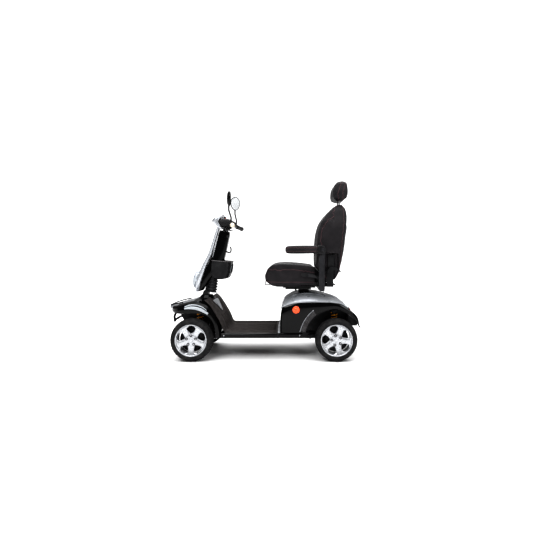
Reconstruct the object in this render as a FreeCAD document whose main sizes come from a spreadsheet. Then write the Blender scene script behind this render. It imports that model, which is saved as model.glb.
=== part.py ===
import FreeCAD, Part

import Sketcher
import math
import os

# Four-wheel mobility scooter, in millimetres.
# +X is forward, +Y is the rider's left and +Z is up. The origin is on the ground, under the
# middle of the scooter. Mirrored pieces are drawn on the left side and reflected in the XZ plane.

V = FreeCAD.Vector
DOC = FreeCAD.newDocument("mobility_scooter")

DIMENSIONS = {
    # wheels and axles
    "tyre_radius": 165, "tyre_width": 115, "rim_radius": 121, "wheel_y": 257.5,
    "front_axle_x": 532, "rear_axle_x": -589, "axle_radius": 9, "kingpin_y": 150,
    # overall outline
    "nose_x": 770, "tail_x": -770, "body_half_width": 272,
    # deck
    "deck_front_x": 290, "deck_rear_x": -150, "deck_top": 205, "deck_low": 178,
    # steering and tiller
    "steering_x": 470, "stem_radius": 16, "tilt_x": 480, "tilt_z": 505,
    "tiller_top_x": 322, "tiller_top_z": 1035, "tiller_half_width": 46,
    "bar_x": 262, "bar_z": 1072, "bar_radius": 12,
    # rear body and seat post
    "post_x": -343, "post_radius": 22, "cover_crest": 522, "arch_radius": 205,
    # seat
    "pan_top": 572, "pan_front_x": -164, "pan_rear_x": -610, "seat_half_width": 236,
    "seat_front_x": -22, "cushion_top": 756, "recline_x": -548, "recline_z": 700,
    "back_top": 1240, "back_half_width": 215, "arm_y": 272, "arm_x": -475, "arm_pivot_z": 858,
    "head_low": 1262, "head_top": 1438,
    # frame
    "rail_y": 68, "rail_low": 132, "rail_high": 178, "pivot_z": 152,
    "front_pivot_x": 345, "rear_pivot_x": -395,
}

SHEET = DOC.addObject("Spreadsheet::Sheet", "dims")
for row, (alias, millimetres) in enumerate(DIMENSIONS.items(), 1):
    SHEET.set(f"A{row}", alias)
    SHEET.set(f"B{row}", str(millimetres))
    SHEET.setAlias(f"B{row}", alias)
DOC.recompute()


class Size:
    """A length as a number, with the expression that ties it to the spreadsheet."""

    def __init__(self, number, text):
        self.number = number
        self.text = text

    def __add__(self, other):
        other = size(other)
        return Size(self.number + other.number, f"({self.text} + {other.text})")

    def __sub__(self, other):
        other = size(other)
        return Size(self.number - other.number, f"({self.text} - {other.text})")

    def __rsub__(self, other):
        return size(other) - self

    def __mul__(self, factor):
        return Size(self.number * factor, f"({self.text} * {factor})")

    def __neg__(self):
        return self * -1

    __radd__ = __add__


def size(length):
    """A plain number, or the name of a spreadsheet cell, as a Size."""
    if isinstance(length, Size):
        return length
    if isinstance(length, str):
        return Size(float(SHEET.get(length)), f"dims.{length}")
    return Size(float(length), f"({length})")


def bind(target, name, length):
    """Sets a length of an object, and keeps it tied to the spreadsheet if it comes from there."""
    length = size(length)
    if "dims." in length.text:
        target.setExpression(name, length.text)
    else:
        parts = name.split(".")
        if len(parts) == 1:
            setattr(target, name, length.number)
        else:
            place = target.Placement
            setattr(place.Base, parts[-1], length.number)
            target.Placement = place


def place(target, x, y, z, rotation=None):
    target.Placement = FreeCAD.Placement(V(0, 0, 0), rotation or FreeCAD.Rotation())
    for letter, length in zip("xyz", (x, y, z)):
        bind(target, f"Placement.Base.{letter}", length)


def box(name, low, high):
    """A block between two opposite corners."""
    block = DOC.addObject("Part::Box", name)
    for side, start, end in zip(("Length", "Width", "Height"), low, high):
        bind(block, side, size(end) - size(start))
    place(block, *low)
    return block


TOWARDS = {
    "x": FreeCAD.Rotation(V(0, 0, 1), V(1, 0, 0)),
    "y": FreeCAD.Rotation(V(0, 0, 1), V(0, 1, 0)),
    "z": FreeCAD.Rotation(),
}


def rod(name, start, way, length, radius, tip=None):
    """A round bar from start along x, y or z, or a cone if tip gives its far radius."""
    kind = "Part::Cylinder" if tip is None else "Part::Cone"
    bar = DOC.addObject(kind, name)
    bind(bar, "Radius" if tip is None else "Radius1", radius)
    if tip is not None:
        bind(bar, "Radius2", tip)
    bind(bar, "Height", length)
    turn = way if isinstance(way, FreeCAD.Rotation) else TOWARDS[way]
    place(bar, *start, turn)
    return bar


def ring(name, centre, way, mean_radius, wire_radius):
    """A torus about x, y or z."""
    hoop = DOC.addObject("Part::Torus", name)
    bind(hoop, "Radius1", mean_radius)
    bind(hoop, "Radius2", wire_radius)
    place(hoop, *centre, TOWARDS[way])
    return hoop


def joined(name, *pieces):
    """One solid out of pieces that run into each other."""
    union = DOC.addObject("Part::MultiFuse", name)
    union.Shapes = list(pieces)
    union.Refine = True
    return union


def group(name, *pieces):
    """Separate solids that are kept together as one node."""
    compound = DOC.addObject("Part::Compound", name)
    compound.Links = list(pieces)
    return compound


def cut(name, base, *tools):
    """A solid with the tools taken out of it."""
    tool = tools[0] if len(tools) == 1 else joined(f"{name}_tools", *tools)
    difference = DOC.addObject("Part::Cut", name)
    difference.Base = base
    difference.Tool = tool
    return difference


def common(name, first, second):
    """What two solids share."""
    shared = DOC.addObject("Part::MultiCommon", name)
    shared.Shapes = [first, second]
    return shared


def mirrored(name, source):
    """The same piece on the other side of the XZ plane."""
    twin = DOC.addObject("Part::Mirroring", name)
    twin.Source = source
    twin.Base = V(0, 0, 0)
    twin.Normal = V(0, 1, 0)
    return twin


def pair(name, left):
    """The left piece and its mirror image, as two solids of one node."""
    return group(name, left, mirrored(f"{name}_other", left))


PLANES = {
    # plane: (role, sketch normal as seen in the part's frame)
    "side": ("XZ_Plane", -1),
    "plan": ("XY_Plane", 1),
    "front": ("YZ_Plane", 1),
}


def outline(body, plane, points):
    """A sketch of straight lines through the points, each tied to the spreadsheet."""
    role, normal = PLANES[plane]
    flat = [feature for feature in body.Origin.OriginFeatures if feature.Role == role][0]
    sketch = body.newObject("Sketcher::SketchObject", f"{body.Name}_outline")
    sketch.AttachmentSupport = [(flat, "")]
    sketch.MapMode = "FlatFace"
    corners = [(size(across), size(up)) for across, up in points]
    ends = corners[1:] + corners[:1]
    for (x, y), (next_x, next_y) in zip(corners, ends):
        start = V(x.number, y.number, 0)
        sketch.addGeometry(Part.LineSegment(start, V(next_x.number, next_y.number, 0)))
    count = len(corners)
    for index in range(count):
        sketch.addConstraint(Sketcher.Constraint("Coincident", index, 2, (index + 1) % count, 1))
    for index, corner in enumerate(corners):
        for kind, length in zip(("DistanceX", "DistanceY"), corner):
            constraint = Sketcher.Constraint(kind, -1, 1, index, 1, length.number)
            number = sketch.addConstraint(constraint)
            if "dims." in length.text:
                sketch.setExpression(f"Constraints[{number}]", length.text)
    return sketch, normal


def pad(name, plane, points, low, high, fillets=()):
    """A sketched outline padded from low to high across its plane, with rounded corners.

    fillets is a list of (point, radius): the edge that crosses the plane at that point.
    """
    low, high = size(low), size(high)
    body = DOC.addObject("PartDesign::Body", name)
    sketch, normal = outline(body, plane, points)
    sketch.setExpression("AttachmentOffset.Base.z", (low * normal).text)
    feature = body.newObject("PartDesign::Pad", f"{name}_pad")
    feature.Profile = sketch
    feature.Reversed = normal < 0
    bind(feature, "Length", high - low)
    DOC.recompute()
    for number, radius in enumerate(sorted({radius for _, radius in fillets}, reverse=True)):
        places = [point for point, chosen in fillets if chosen == radius]
        base = body.Tip
        edges = crossing_edges(base.Shape, plane, places)
        rounding = body.newObject("PartDesign::Fillet", f"{name}_round_{number}")
        rounding.Base = (base, edges)
        rounding.Radius = radius
        DOC.recompute()
    return body


AXES_IN_PLANE = {"side": ("x", "z"), "plan": ("x", "y"), "front": ("y", "z")}


def crossing_edges(shape, plane, places):
    """The names of the straight edges that stand square to the plane at the given places."""
    across, up = AXES_IN_PLANE[plane]
    found = []
    for number, edge in enumerate(shape.Edges, 1):
        ends = [vertex.Point for vertex in edge.Vertexes]
        if len(ends) != 2:
            continue
        for x, y in places:
            wanted = (size(x).number, size(y).number)
            near = all(
                math.dist((getattr(end, across), getattr(end, up)), wanted) < 0.01
                for end in ends
            )
            if near:
                found.append(f"Edge{number}")
    return found


def softened(name, base, radius, picks):
    """A copy with the picked edges rounded. picks takes an edge and says if it is one."""
    DOC.recompute()
    rounding = DOC.addObject("Part::Fillet", name)
    rounding.Base = base
    numbers = [n for n, edge in enumerate(base.Shape.Edges, 1) if picks(edge)]
    rounding.Edges = [(number, radius, radius) for number in numbers]
    return rounding


def shaped(name, shape):
    """A sub-part whose solid is worked out with Part's own functions."""
    feature = DOC.addObject("Part::Feature", name)
    feature.Shape = shape
    feature.Placement = shape.Placement
    return feature


def mm(name):
    """A spreadsheet dimension as a plain number."""
    return size(name).number


def tube_path(points, bend):
    """Straight runs joined by tangent arcs of one bend radius."""
    points = [V(*point) for point in points]
    edges = []
    start = points[0]
    for before, corner, after in zip(points, points[1:], points[2:]):
        towards = (corner - before).normalize()
        away = (after - corner).normalize()
        turn = towards.getAngle(away)
        reach = bend * math.tan(turn / 2)
        first = corner - towards * reach
        last = corner + away * reach
        middle_way = (away - towards).normalize()
        middle = corner + middle_way * (bend / math.cos(turn / 2) - bend)
        edges.append(Part.LineSegment(start, first).toShape())
        edges.append(Part.Arc(first, middle, last).toShape())
        start = last
    edges.append(Part.LineSegment(start, points[-1]).toShape())
    return Part.Wire(edges)


def bent_tube(points, bend, radius, bore=0):
    """A round tube or bar along straight runs and bends."""
    path = tube_path(points, bend)
    start = V(*points[0])
    way = V(*points[1]) - start

    def swept(section_radius):
        circle = Part.Wire([Part.Circle(start, way, section_radius).toShape()])
        return path.makePipeShell([circle], True, False)

    tube = swept(radius)
    return tube.cut(swept(bore)) if bore else tube


def spring_shape(centre, low, high, coil_radius, wire_radius, turns):
    """A closed helical compression spring standing on the ground plane's normal."""
    height = high - low - 2 * wire_radius
    path = Part.makeHelix(height / turns, height, coil_radius)
    section = Part.Wire([Part.Circle(V(coil_radius, 0, 0), V(0, 1, 0), wire_radius).toShape()])
    coil = path.makePipeShell([section], True, True)
    coil.translate(V(centre[0], centre[1], low + wire_radius))
    return coil


# ---------------------------------------------------------------- frame and deck

def main_frame():
    rail_y = size("rail_y")
    pieces = []
    for side, low_y in (("left", rail_y - 15), ("right", -rail_y - 15)):
        low = (-440, low_y, "rail_low")
        pieces.append(box(f"rail_{side}", low, (322, low_y + 30, "rail_high")))
    for number, x in enumerate((-440, -250, -60, 130, 282)):
        low = (x, -rail_y, size("rail_low") + 2)
        pieces.append(box(f"cross_{number}", low, (x + 40, rail_y, size("rail_high") - 2)))
    x = size("steering_x")
    gusset = [(304, "rail_low"), (334, "rail_low"), (x + 20, 340), (x + 20, 425), (x - 34, 425),
              (304, 196)]
    pieces.append(pad("neck_gusset", "side", gusset, -30, 30))
    pieces.append(rod("neck_tube", (x, 0, 335), "z", 100, 30))
    pieces.append(box("front_bridge", (x - 24, -126, 395), (x + 60, 126, 415)))
    pieces.append(box("nose_bar", (628, -170, 352), (652, 170, 376)))
    pieces.append(box("nose_beam", (x + 15, -18, 350), (700, 18, 375)))
    post = size("post_x")
    pieces.append(rod("post_socket", (post, 0, "rail_low"), "z", 373, 30))
    pieces.append(box("post_foot", (post - 45, -rail_y, "rail_low"), (post + 45, rail_y, "rail_high")))
    rear = size("rear_axle_x")
    rise = [(-440, "rail_high"), (-405, "rail_high"), (-425, 372), (rear - 60, 372),
            (rear - 60, 352), (-450, 352)]
    for side, low_y in (("left", 34), ("right", -54)):
        pieces.append(pad(f"rear_rise_{side}", "side", rise, low_y, low_y + 20))
    pieces.append(box("rear_bridge", (rear - 22, -156, 356), (rear + 22, 156, 372)))
    solid = joined("frame_solid", *pieces, *pivot_pins())
    bores = [
        rod("neck_bore", (x, 0, 240), "z", 220, size("stem_radius") + 0.05),
        rod("post_bore", (post, 0, 200), "z", 320, size("post_radius") + 0.05),
    ]
    return cut("main_frame", solid, *bores)


def footwell():
    front, rear = size("deck_front_x"), size("deck_rear_x")
    low, top = size("deck_low"), size("deck_top")
    floor = pad("deck_pan", "side", [(rear, low), (front, low), (front, top), (rear, top)], -246, 246)
    shield = [(front - 30, low), (front, low), (front + 12, 262), (345, 345), (392, 425),
              (432, 466), (428, 472), (385, 431), (337, 349), (front - 22, 264), (front - 30, top)]
    wall = pad("leg_shield", "side", shield, -246, 246)
    edge = [(rear - 178, low - 2), (front + 4, low - 2), (front + 4, 214), (rear - 178, 214)]
    sill = pad("sill", "side", edge, 246, 270)
    other = mirrored("sill_other", sill)
    clear = rod("neck_way", (size("tilt_x") - 8, 0, 430), "z", 60, 74)
    solid = joined("footwell_solid", floor, wall, sill, other)
    return cut("footwell", solid, clear)


def floor_mat():
    low = size("deck_top") + 0.2
    front, rear = size("deck_front_x") - 34, size("deck_rear_x") + 10
    mat = pad("mat_sheet", "plan", [(rear, -240), (front, -240), (front, 240), (rear, 240)], low, low + 4)
    ribs = [box(f"rib_{n}", (rear, -232 + 29 * n, low + 3), (front, -220 + 29 * n, low + 6))
            for n in range(17)]
    return joined("floor_mat", mat, *ribs)


def cowl_solid(name, inset):
    """The front fairing as a full block, drawn inwards by inset on every side."""
    low = 352 if inset else 354
    side = [(size("deck_front_x") + 14 + inset, 176 + (-6 if inset else 0)), (341, 176 - inset),
            (346, 250), (368, 318), (420, low), (690, low), (size("nose_x") - 40 - inset, 380),
            (size("nose_x") - inset, 398), (size("nose_x") - 70 - inset, 414 - inset),
            (620, 434 - inset), (540, 452 - inset), (462, 455 - inset), (402, 428 - inset),
            (356 + inset, 349), (316 + inset, 262)]
    wall = pad(f"{name}_side", "side", side, size("body_half_width") * -1 + inset,
               size("body_half_width") - inset)
    half = size("body_half_width") - inset
    plan = [(280, -half), (600, -half), (690, -half + 58), ("nose_x", -90), ("nose_x", 90),
            (690, half - 58), (600, half), (280, half)]
    if inset:
        plan[3], plan[4] = (size("nose_x") - inset, -88), (size("nose_x") - inset, 88)
    top = pad(f"{name}_plan", "plan", plan, 150, 480)
    return common(name, wall, top)


def front_cowl():
    outer = cowl_solid("cowl_outer", 0)
    inner = cowl_solid("cowl_inner", 4)
    belly = box("cowl_belly", (395, -262, 340), (700, 262, 380))
    leg_way = box("cowl_leg_way", (270, -244, 160), (372, 244, 350))
    neck_hole = rod("cowl_neck_hole", ("tilt_x", 0, 400), "z", 90, 62)
    return cut("front_cowl", outer, inner, belly, leg_way, neck_hole)


def front_light_lenses():
    lens = [(575, 424), (560, 440), (500, 437), (440, 420), (400, 385), (402, 372), (440, 398),
            (500, 410)]
    left = pad("lens_left", "side", lens, size("body_half_width") + 0.3, size("body_half_width") + 6)
    return pair("front_light_lenses", left)


def front_bumper():
    left = [(652.2, 150, 364), (688, 150, 364), (702, 156, 325), (704, 140, 285), (718, 60, 285)]
    route = left + [(x, -y, z) for x, y, z in reversed(left)]
    return shaped("front_bumper", bent_tube(route, 14, 9))


def side_panels():
    arch_x, arch_z = size("rear_axle_x"), 165
    radius = mm("arch_radius")
    side = [(-152, 216), (-152, 330), (-166, 416), (-230, 446), (-330, 458), (-470, 462),
            (-620, 450), (-685, 396), (-748, 342), ("tail_x", 288), (size("tail_x") + 14, 252),
            (-720, 250), (-330, 176), (-330, 216)]
    wall = pad("panel_wall", "side", side, size("body_half_width") - 4, "body_half_width")
    arch = rod("panel_arch", (arch_x, 200, arch_z), "y", 100, radius)
    left = cut("panel_left", wall, arch)
    front = box("panel_front", (-158, -268, 214), (-154, 268, 412))
    return joined("side_panels", left, mirrored("panel_right", left), front)


def dome_solid(name, inset):
    """The rear cover as a full block, drawn inwards by inset."""
    crest = size("cover_crest") - inset
    side = [(-160 - inset, 400), (-160 - inset, 420), (-185 - inset, 462 - inset),
            (-250, 503 - inset), (-330, crest), (-420, crest - 6), (-540, 480 - inset),
            (-640, 456 - inset), (-690 + inset, 405), (-690 + inset, 400)]
    long_way = pad(f"{name}_side", "side", side, -268 + inset, 268 - inset)
    arch = [(-267 + inset, 400), (-267 + inset, 440), (-235 + inset, 478 - inset),
            (-150, crest - 12), (-70, crest + 1), (70, crest + 1), (150, crest - 12),
            (235 - inset, 478 - inset), (267 - inset, 440), (267 - inset, 400)]
    cross_way = pad(f"{name}_cross", "front", arch, -700, -150)
    return common(name, long_way, cross_way)


def rear_cover():
    outer = dome_solid("dome_outer", 0)
    inner = dome_solid("dome_inner", 4)
    low = box("dome_low", (-700, -280, 390), (-140, 280, 420))
    hole = rod("dome_hole", ("post_x", 0, 430), "z", 100, 34)
    rod_hole = rod("dome_lever_hole", (-507, 100, 430), "z", 80, 7)
    panel_gap = box("dome_sides", (-700, -290, 400), (-140, 290, 463))
    keep = box("dome_keep", (-684, -262, 400), (-162, 262, 470))
    edges = cut("dome_edges", panel_gap, keep)
    return cut("rear_cover", outer, inner, low, hole, rod_hole, edges)


def rear_mudguards():
    x, z = size("rear_axle_x"), 165
    outer = rod("guard_outer", (x, 186, z), "y", 81, size("arch_radius") - 1)
    inner = rod("guard_inner", (x, 180, z), "y", 100, size("arch_radius") - 6)
    low = box("guard_low", (x - 230, 170, -60), (x + 230, 280, 262))
    left = cut("guard_left", outer, inner, low)
    return group("rear_mudguards", left, mirrored("guard_right", left), tail_panel())


def side_indicators():
    y = size("body_half_width") + 0.3
    disc = rod("indicator_disc", (-277, y, 396), "y", 6, 28.5, 25)
    return pair("side_indicators", disc)


def tail_lights():
    left = pad("tail_lens", "front", [(150, 352), (225, 362), (225, 392), (150, 396)], -712, -700,
               fillets=[((150, 352), 6), ((225, 392), 6)])
    return pair("tail_lights", left)


def tail_panel():
    """The plain wall between the mudguards."""
    wall = box("tail_wall", (-700, -185, 250), (-694, 185, 404))
    return cut("tail_wall_cut", wall, box("tail_notch", (-710, -120, 240), (-690, 120, 262)))


def batteries():
    blocks = [box("battery_case", (-290, 60, size("rail_high") + 0.2), (-180, 235, 385))]
    handle = box("battery_handle", (-250, 120, 385), (-220, 175, 398))
    left = joined("battery_left", *blocks, handle)
    controller = box("controller", (-480, -150, 385), (-400, 150, 400))
    return group("batteries", left, mirrored("battery_right", left), controller)


# ---------------------------------------------------------------- wheels and suspension

def tyre_shape(name):
    radius, half = mm("tyre_radius"), mm("tyre_width") / 2
    rim = mm("rim_radius")
    section = [(rim, -half + 14), (rim + 12, -half + 2), (radius - 22, -half), (radius - 6, -half + 12),
               (radius, 0), (radius - 6, half - 12), (radius - 22, half), (rim + 12, half - 2),
               (rim, half - 14)]
    corners = [V(out, across, 0) for out, across in section]
    edges = [Part.LineSegment(a, b).toShape() for a, b in zip(corners[:3], corners[1:4])]
    edges.append(Part.Arc(corners[3], corners[4], corners[5]).toShape())
    edges += [Part.LineSegment(a, b).toShape() for a, b in zip(corners[5:], corners[6:])]
    edges.append(Part.LineSegment(corners[-1], corners[0]).toShape())
    face = Part.Face(Part.Wire(edges))
    return shaped(name, face.revolve(V(0, 0, 0), V(0, 1, 0), 360))


def rim_shape():
    """A five-spoke alloy rim about +Y, with its open face outwards and five wheel bolts."""
    rim, half = mm("rim_radius"), mm("tyre_width") / 2
    barrel = Part.makeCylinder(rim - 0.3, 2 * half - 30, V(0, -half + 15, 0), V(0, 1, 0))
    barrel = barrel.cut(Part.makeCylinder(rim - 9, 2 * half, V(0, -half, 0), V(0, 1, 0)))
    face_low, face_high = half - 40, half - 20
    hub = Part.makeCylinder(46, 44, V(0, face_high - 44, 0), V(0, 1, 0))
    spokes = []
    for number in range(5):
        corners = [V(-30, 0, 30), V(-19, 0, rim - 5), V(19, 0, rim - 5), V(30, 0, 30)]
        spoke = Part.Face(Part.makePolygon(corners + corners[:1])).extrude(V(0, 20, 0))
        spoke.translate(V(0, face_low, 0))
        spoke.rotate(V(0, 0, 0), V(0, 1, 0), 36 + 72 * number)
        spokes.append(spoke)
    wheel = barrel.multiFuse([hub] + spokes).removeSplitter()
    bore = Part.makeCylinder(mm("axle_radius") + 0.05, 200, V(0, -100, 0), V(0, 1, 0))
    bolts = []
    for number in range(5):
        bolt = Part.makeCylinder(6, 8, V(0, face_high + 0.2, 28), V(0, 1, 0))
        bolt.rotate(V(0, 0, 0), V(0, 1, 0), 72 * number)
        bolts.append(bolt)
    return Part.makeCompound([wheel.cut(bore)] + bolts)


def wheels():
    made = []
    for end, axle_x in (("front", mm("front_axle_x")), ("rear", mm("rear_axle_x"))):
        for side, turn in (("left", 0), ("right", 180)):
            y = mm("wheel_y") * (1 if side == "left" else -1)
            seat = FreeCAD.Placement(V(axle_x, y, mm("tyre_radius")),
                                     FreeCAD.Rotation(V(0, 0, 1), turn))
            tyre = tyre_shape(f"tyre_{end}_{side}")
            rim = shaped(f"rim_{end}_{side}", rim_shape())
            tyre.Placement = seat
            rim.Placement = seat
            made += [tyre, rim]
    return made


def front_axle_beam():
    x, z = size("front_axle_x"), size("tyre_radius")
    king = size("kingpin_y")
    pivot = size("front_pivot_x")
    beam = box("beam_bar", (x - 20, -king, z - 16), (x + 20, king, z + 16))
    arm = box("beam_arm", (pivot, 60, "rail_low"), (x, 82, z))
    eye = rod("beam_eye", (pivot, 60, "pivot_z"), "y", 22, 17)
    seat = box("spring_seat", (x - 54, 74, z - 14), (x + 4, 128, z + 16))
    pins = [rod(f"kingpin_{n}", (x, y, z - 38), "z", 76, 10)
            for n, y in enumerate((king, -king))]
    sides = [mirrored(f"{piece.Name}_other", piece) for piece in (arm, seat, eye)]
    solid = joined("beam_solid", beam, arm, seat, eye, *sides, *pins)
    return cut("front_axle_beam", solid, rod("beam_bore", (pivot, -90, "pivot_z"), "y", 180, 8.05))


def knuckle():
    x, z, king = size("front_axle_x"), size("tyre_radius"), size("kingpin_y")
    top = box("knuckle_top", (x - 17, king - 17, z + 19), (x + 17, king + 17, z + 36))
    low = box("knuckle_low", (x - 17, king - 17, z - 36), (x + 17, king + 17, z - 19))
    web = box("knuckle_web", (x - 17, king + 16.5, z - 36), (x + 17, king + 27, z + 36))
    stub = rod("knuckle_stub", (x, king + 20, z), "y", 120, "axle_radius")
    arm = box("knuckle_arm", (x - 82, king - 12, z - 36), (x - 10, king + 12, z - 26))
    solid = joined("knuckle_solid", top, low, web, stub, arm)
    bores = [rod("knuckle_bore", (x, king, z - 60), "z", 120, 10.05),
             rod("knuckle_eye", (x - 70, king, z - 60), "z", 60, 5.05)]
    return cut("knuckle_left", solid, *bores)


def tie_rod():
    x, z, king = size("front_axle_x") - 70, size("tyre_radius") - 50, size("kingpin_y")
    pins = [rod(f"tie_pin_{n}", (x, y, z), "z", 26, 5) for n, y in enumerate((king, -king))]
    bar = box("tie_bar", (x - 7, -king - 9, z - 6), (x + 7, king + 9, z + 6))
    lug = box("tie_lug", (x - 72, -10, z - 6), (x, 10, z + 6))
    middle = rod("tie_middle_pin", (x - 62, 0, z), "z", 58, 6)
    return joined("tie_rod", bar, lug, *pins, middle)


def steering_stem():
    x = size("steering_x")
    shaft = rod("stem_shaft", (x, 0, 160), "z", 300, "stem_radius")
    pitman = box("pitman_arm", (x - 86, -17, 158), (x, 17, 168))
    head = box("stem_head", (x - 26, -26, 440), (x + 34, 26, 460))
    ears = [box(f"stem_ear_{n}", (x - 14, y, 455), (x + 34, y + 8, "tilt_z"))
            for n, y in enumerate((-26, 18))]
    caps = [rod(f"stem_ear_cap_{n}", ("tilt_x", y, "tilt_z"), "y", 8, 20)
            for n, y in enumerate((-26, 18))]
    pin = rod("tilt_pin", ("tilt_x", -26, "tilt_z"), "y", 52, 7)
    solid = joined("stem_solid", shaft, pitman, head, *ears, *caps, pin)
    stem = cut("stem", solid, rod("pitman_eye", (x - 70, 0, 150), "z", 30, 10))
    return group("steering_stem", stem, neck_cover())


def rear_transaxle():
    x, z, pivot = size("rear_axle_x"), size("tyre_radius"), size("rear_pivot_x")
    tube = rod("axle_tube", (x, -168, z), "y", 336, 24)
    ends = [rod("axle_end_left", (x, 160, z), "y", 130, "axle_radius"),
            rod("axle_end_right", (x, -290, z), "y", 130, "axle_radius")]
    case = rod("gear_case", (x, -45, z), "y", 90, 62)
    motor = rod("motor", (x + 70, -130, z + 14), "y", 220, 44)
    arm = box("swing_arm", (x, 96, z - 16), (pivot, 116, z + 4))
    eye = rod("swing_eye", (pivot, 94, "pivot_z"), "y", 24, 16)
    seat = box("rear_spring_seat", (x - 24, 96, z + 12), (x + 24, 156, z + 32))
    sides = [mirrored(f"{piece.Name}_other", piece) for piece in (arm, seat, eye)]
    solid = joined("transaxle_solid", tube, *ends, case, motor, arm, seat, eye, *sides)
    return cut("rear_transaxle", solid, rod("swing_bore", (pivot, -130, "pivot_z"), "y", 260, 8.05))


def pivot_pins():
    """The pins that the two axles swing on, and the plates that hold the front pair."""
    front = rod("front_pivot_pin", ("front_pivot_x", 56, "pivot_z"), "y", 30, 8)
    hanger = box("front_hanger", (290, 83, 134), (size("front_pivot_x") + 12, 88, 172))
    rear = rod("rear_pivot_pin", ("rear_pivot_x", 80, "pivot_z"), "y", 44, 8)
    left = [front, hanger, rear]
    return left + [mirrored(f"{piece.Name}_other", piece) for piece in left]


def springs():
    front_x, rear_x = mm("front_axle_x") - 24, mm("rear_axle_x")
    made = []
    for name, x, y, low, high in (("front_springs", front_x, 102, 181.5, 394.6),
                                  ("rear_springs", rear_x, 128, 197.4, 355.6)):
        coils = [spring_shape((x, side * y), low, high, 22, 4.5, 7) for side in (1, -1)]
        dampers = [Part.makeCylinder(11, high - low - 1, V(x, side * y, low + 0.5))
                   for side in (1, -1)]
        made.append(shaped(name, Part.makeCompound(coils + dampers)))
    return made


def freewheel_lever():
    shaft = rod("lever_shaft", (-507, 100, 402), "z", 116, 3)
    knob = ring("lever_ring", (-507, 100, 524), "y", 7, 2.5)
    foot = box("lever_foot", (-517, 90, 400.5), (-497, 110, 406))
    return joined("freewheel_lever", shaft, knob, foot)


# ---------------------------------------------------------------- tiller

def tiller_column():
    x, z = size("tilt_x"), size("tilt_z")
    eye = rod("column_eye", (x, -17.5, z), "y", 35, 17)
    lean = FreeCAD.Rotation(V(0, 1, 0), -lean_degrees())
    tube = rod("column_tube", (x, 0, z), lean, math.dist(TILLER_TOP, TILLER_FOOT), 15)
    clamp = rod("bar_clamp", ("bar_x", -26, "bar_z"), "y", 52, 19)
    neck = box("clamp_neck", (size("bar_x") + 5, -14, size("bar_z") - 34),
               (size("tiller_top_x") + 14, 14, size("bar_z") - 4))
    solid = joined("column_solid", eye, tube, clamp, neck)
    bores = [rod("eye_bore", (x, -40, z), "y", 80, 7.05),
             rod("clamp_bore", ("bar_x", -40, "bar_z"), "y", 80, size("bar_radius") + 0.1)]
    return cut("tiller_column", solid, *bores)


TILLER_FOOT = (mm("tilt_x"), mm("tilt_z"))
TILLER_TOP = (mm("tiller_top_x"), mm("tiller_top_z"))


def lean_degrees():
    return math.degrees(math.atan2(TILLER_FOOT[0] - TILLER_TOP[0], TILLER_TOP[1] - TILLER_FOOT[1]))


def tiller_shroud():
    x, top = size("tilt_x"), size("tiller_top_x")
    side = [(x + 34, 545), (x + 52, 530), (x + 6, 690), (431, 806), (372, 1012), (357, 1030),
            (top - 42, 1012), (top - 44, 985), (316, 800), (352, 665), (398, 610), (x - 40, 560)]
    half = size("tiller_half_width")
    outer = pad("shroud_outer", "side", side, -half, half, fillets=[((357, 1030), 12)])
    way = [(x + 20, 510), (x + 40, 520), (x - 4, 686), (421, 802), (364, 1005), (top - 32, 1005),
           (top - 32, 985), (328, 800), (362, 672), (406, 616), (x - 34, 560), (x - 34, 510)]
    hollow = pad("shroud_inner", "side", way, -half + 4, half - 4)
    hole = box("shroud_top_hole", (top - 36, -18, 990), (top + 28, 18, 1050))
    return group("tiller_shroud", cut("shroud_shell", outer, hollow, hole), bag_hook())


def bag_hook():
    route = [(312.5, 0, 848), (286, 0, 838), (272, 0, 858), (276, 0, 886)]
    return shaped("bag_hook", bent_tube(route, 9, 5))


def tiller_fascia():
    x = size("tilt_x")
    side = [(x + 54.5, 531), (x + 76, 520), (x + 74, 566), (x + 42, 680), (498, 752), (462, 810),
            (391, 1038), (380, 1044), (358, 1031), (373, 1013), (432, 807), (x + 7, 691)]
    blade = pad("fascia_blade", "side", side, -56, 56)
    face = softened("fascia_face", blade, 7, lambda edge: long_edge(edge, "y", 56))
    return group("tiller_fascia", face, visor())


def long_edge(edge, letter, at):
    """Says if an edge lies on one side face of a padded piece, left or right."""
    ends = [vertex.Point for vertex in edge.Vertexes]
    return len(ends) == 2 and all(abs(abs(getattr(end, letter)) - at) < 0.01 for end in ends) \
        and edge.Length > 30 and max(end.x for end in ends) > 470


def headlamp():
    """The bulging lamp unit low on the tiller's face."""
    x = size("tilt_x")
    side = [(x + 76.5, 532), (x + 100, 556), (x + 108, 604), (x + 96, 652), (x + 64, 684),
            (x + 43, 681), (x + 74.5, 566.5)]
    return pad("headlamp", "side", side, -48, 48,
               fillets=[(side[1], 14), (side[2], 24), (side[3], 24), (side[4], 10)])


def console_housing():
    side = [(398, 1092), (392, 1108), (330, 1128), (262, 1112), (232, 1088), (240, 1070),
            (290, 1050), (350, 1048)]
    block = pad("console_block", "side", side, -78, 78, fillets=[((392, 1108), 10), ((232, 1088), 8)])
    tunnel = rod("console_tunnel", ("bar_x", -90, "bar_z"), "y", 180, 19.5)
    neck = box("console_neck_way", (262, -16, 1030), (size("tiller_top_x") + 16, 16, 1072))
    column = rod("console_column_way", (size("tiller_top_x") + 2, 0, 1020), "z", 62, 19)
    sockets = [rod(f"console_socket_{name}", (x, y, 1050), "z", 120, radius)
               for name, x, y, radius in (("dial", 330, 0, 5.1), ("key", 330, 45, 5.1),
                                          ("horn", 330, -45, 6.1))]
    return cut("console_housing", block, tunnel, neck, column, *sockets)


def visor():
    side = [(399, 1088), (434, 1112), (427, 1122), (354, 1163), (348, 1159), (403, 1113),
            (401, 1104)]
    return pad("visor", "side", side, -88, 88)


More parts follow.
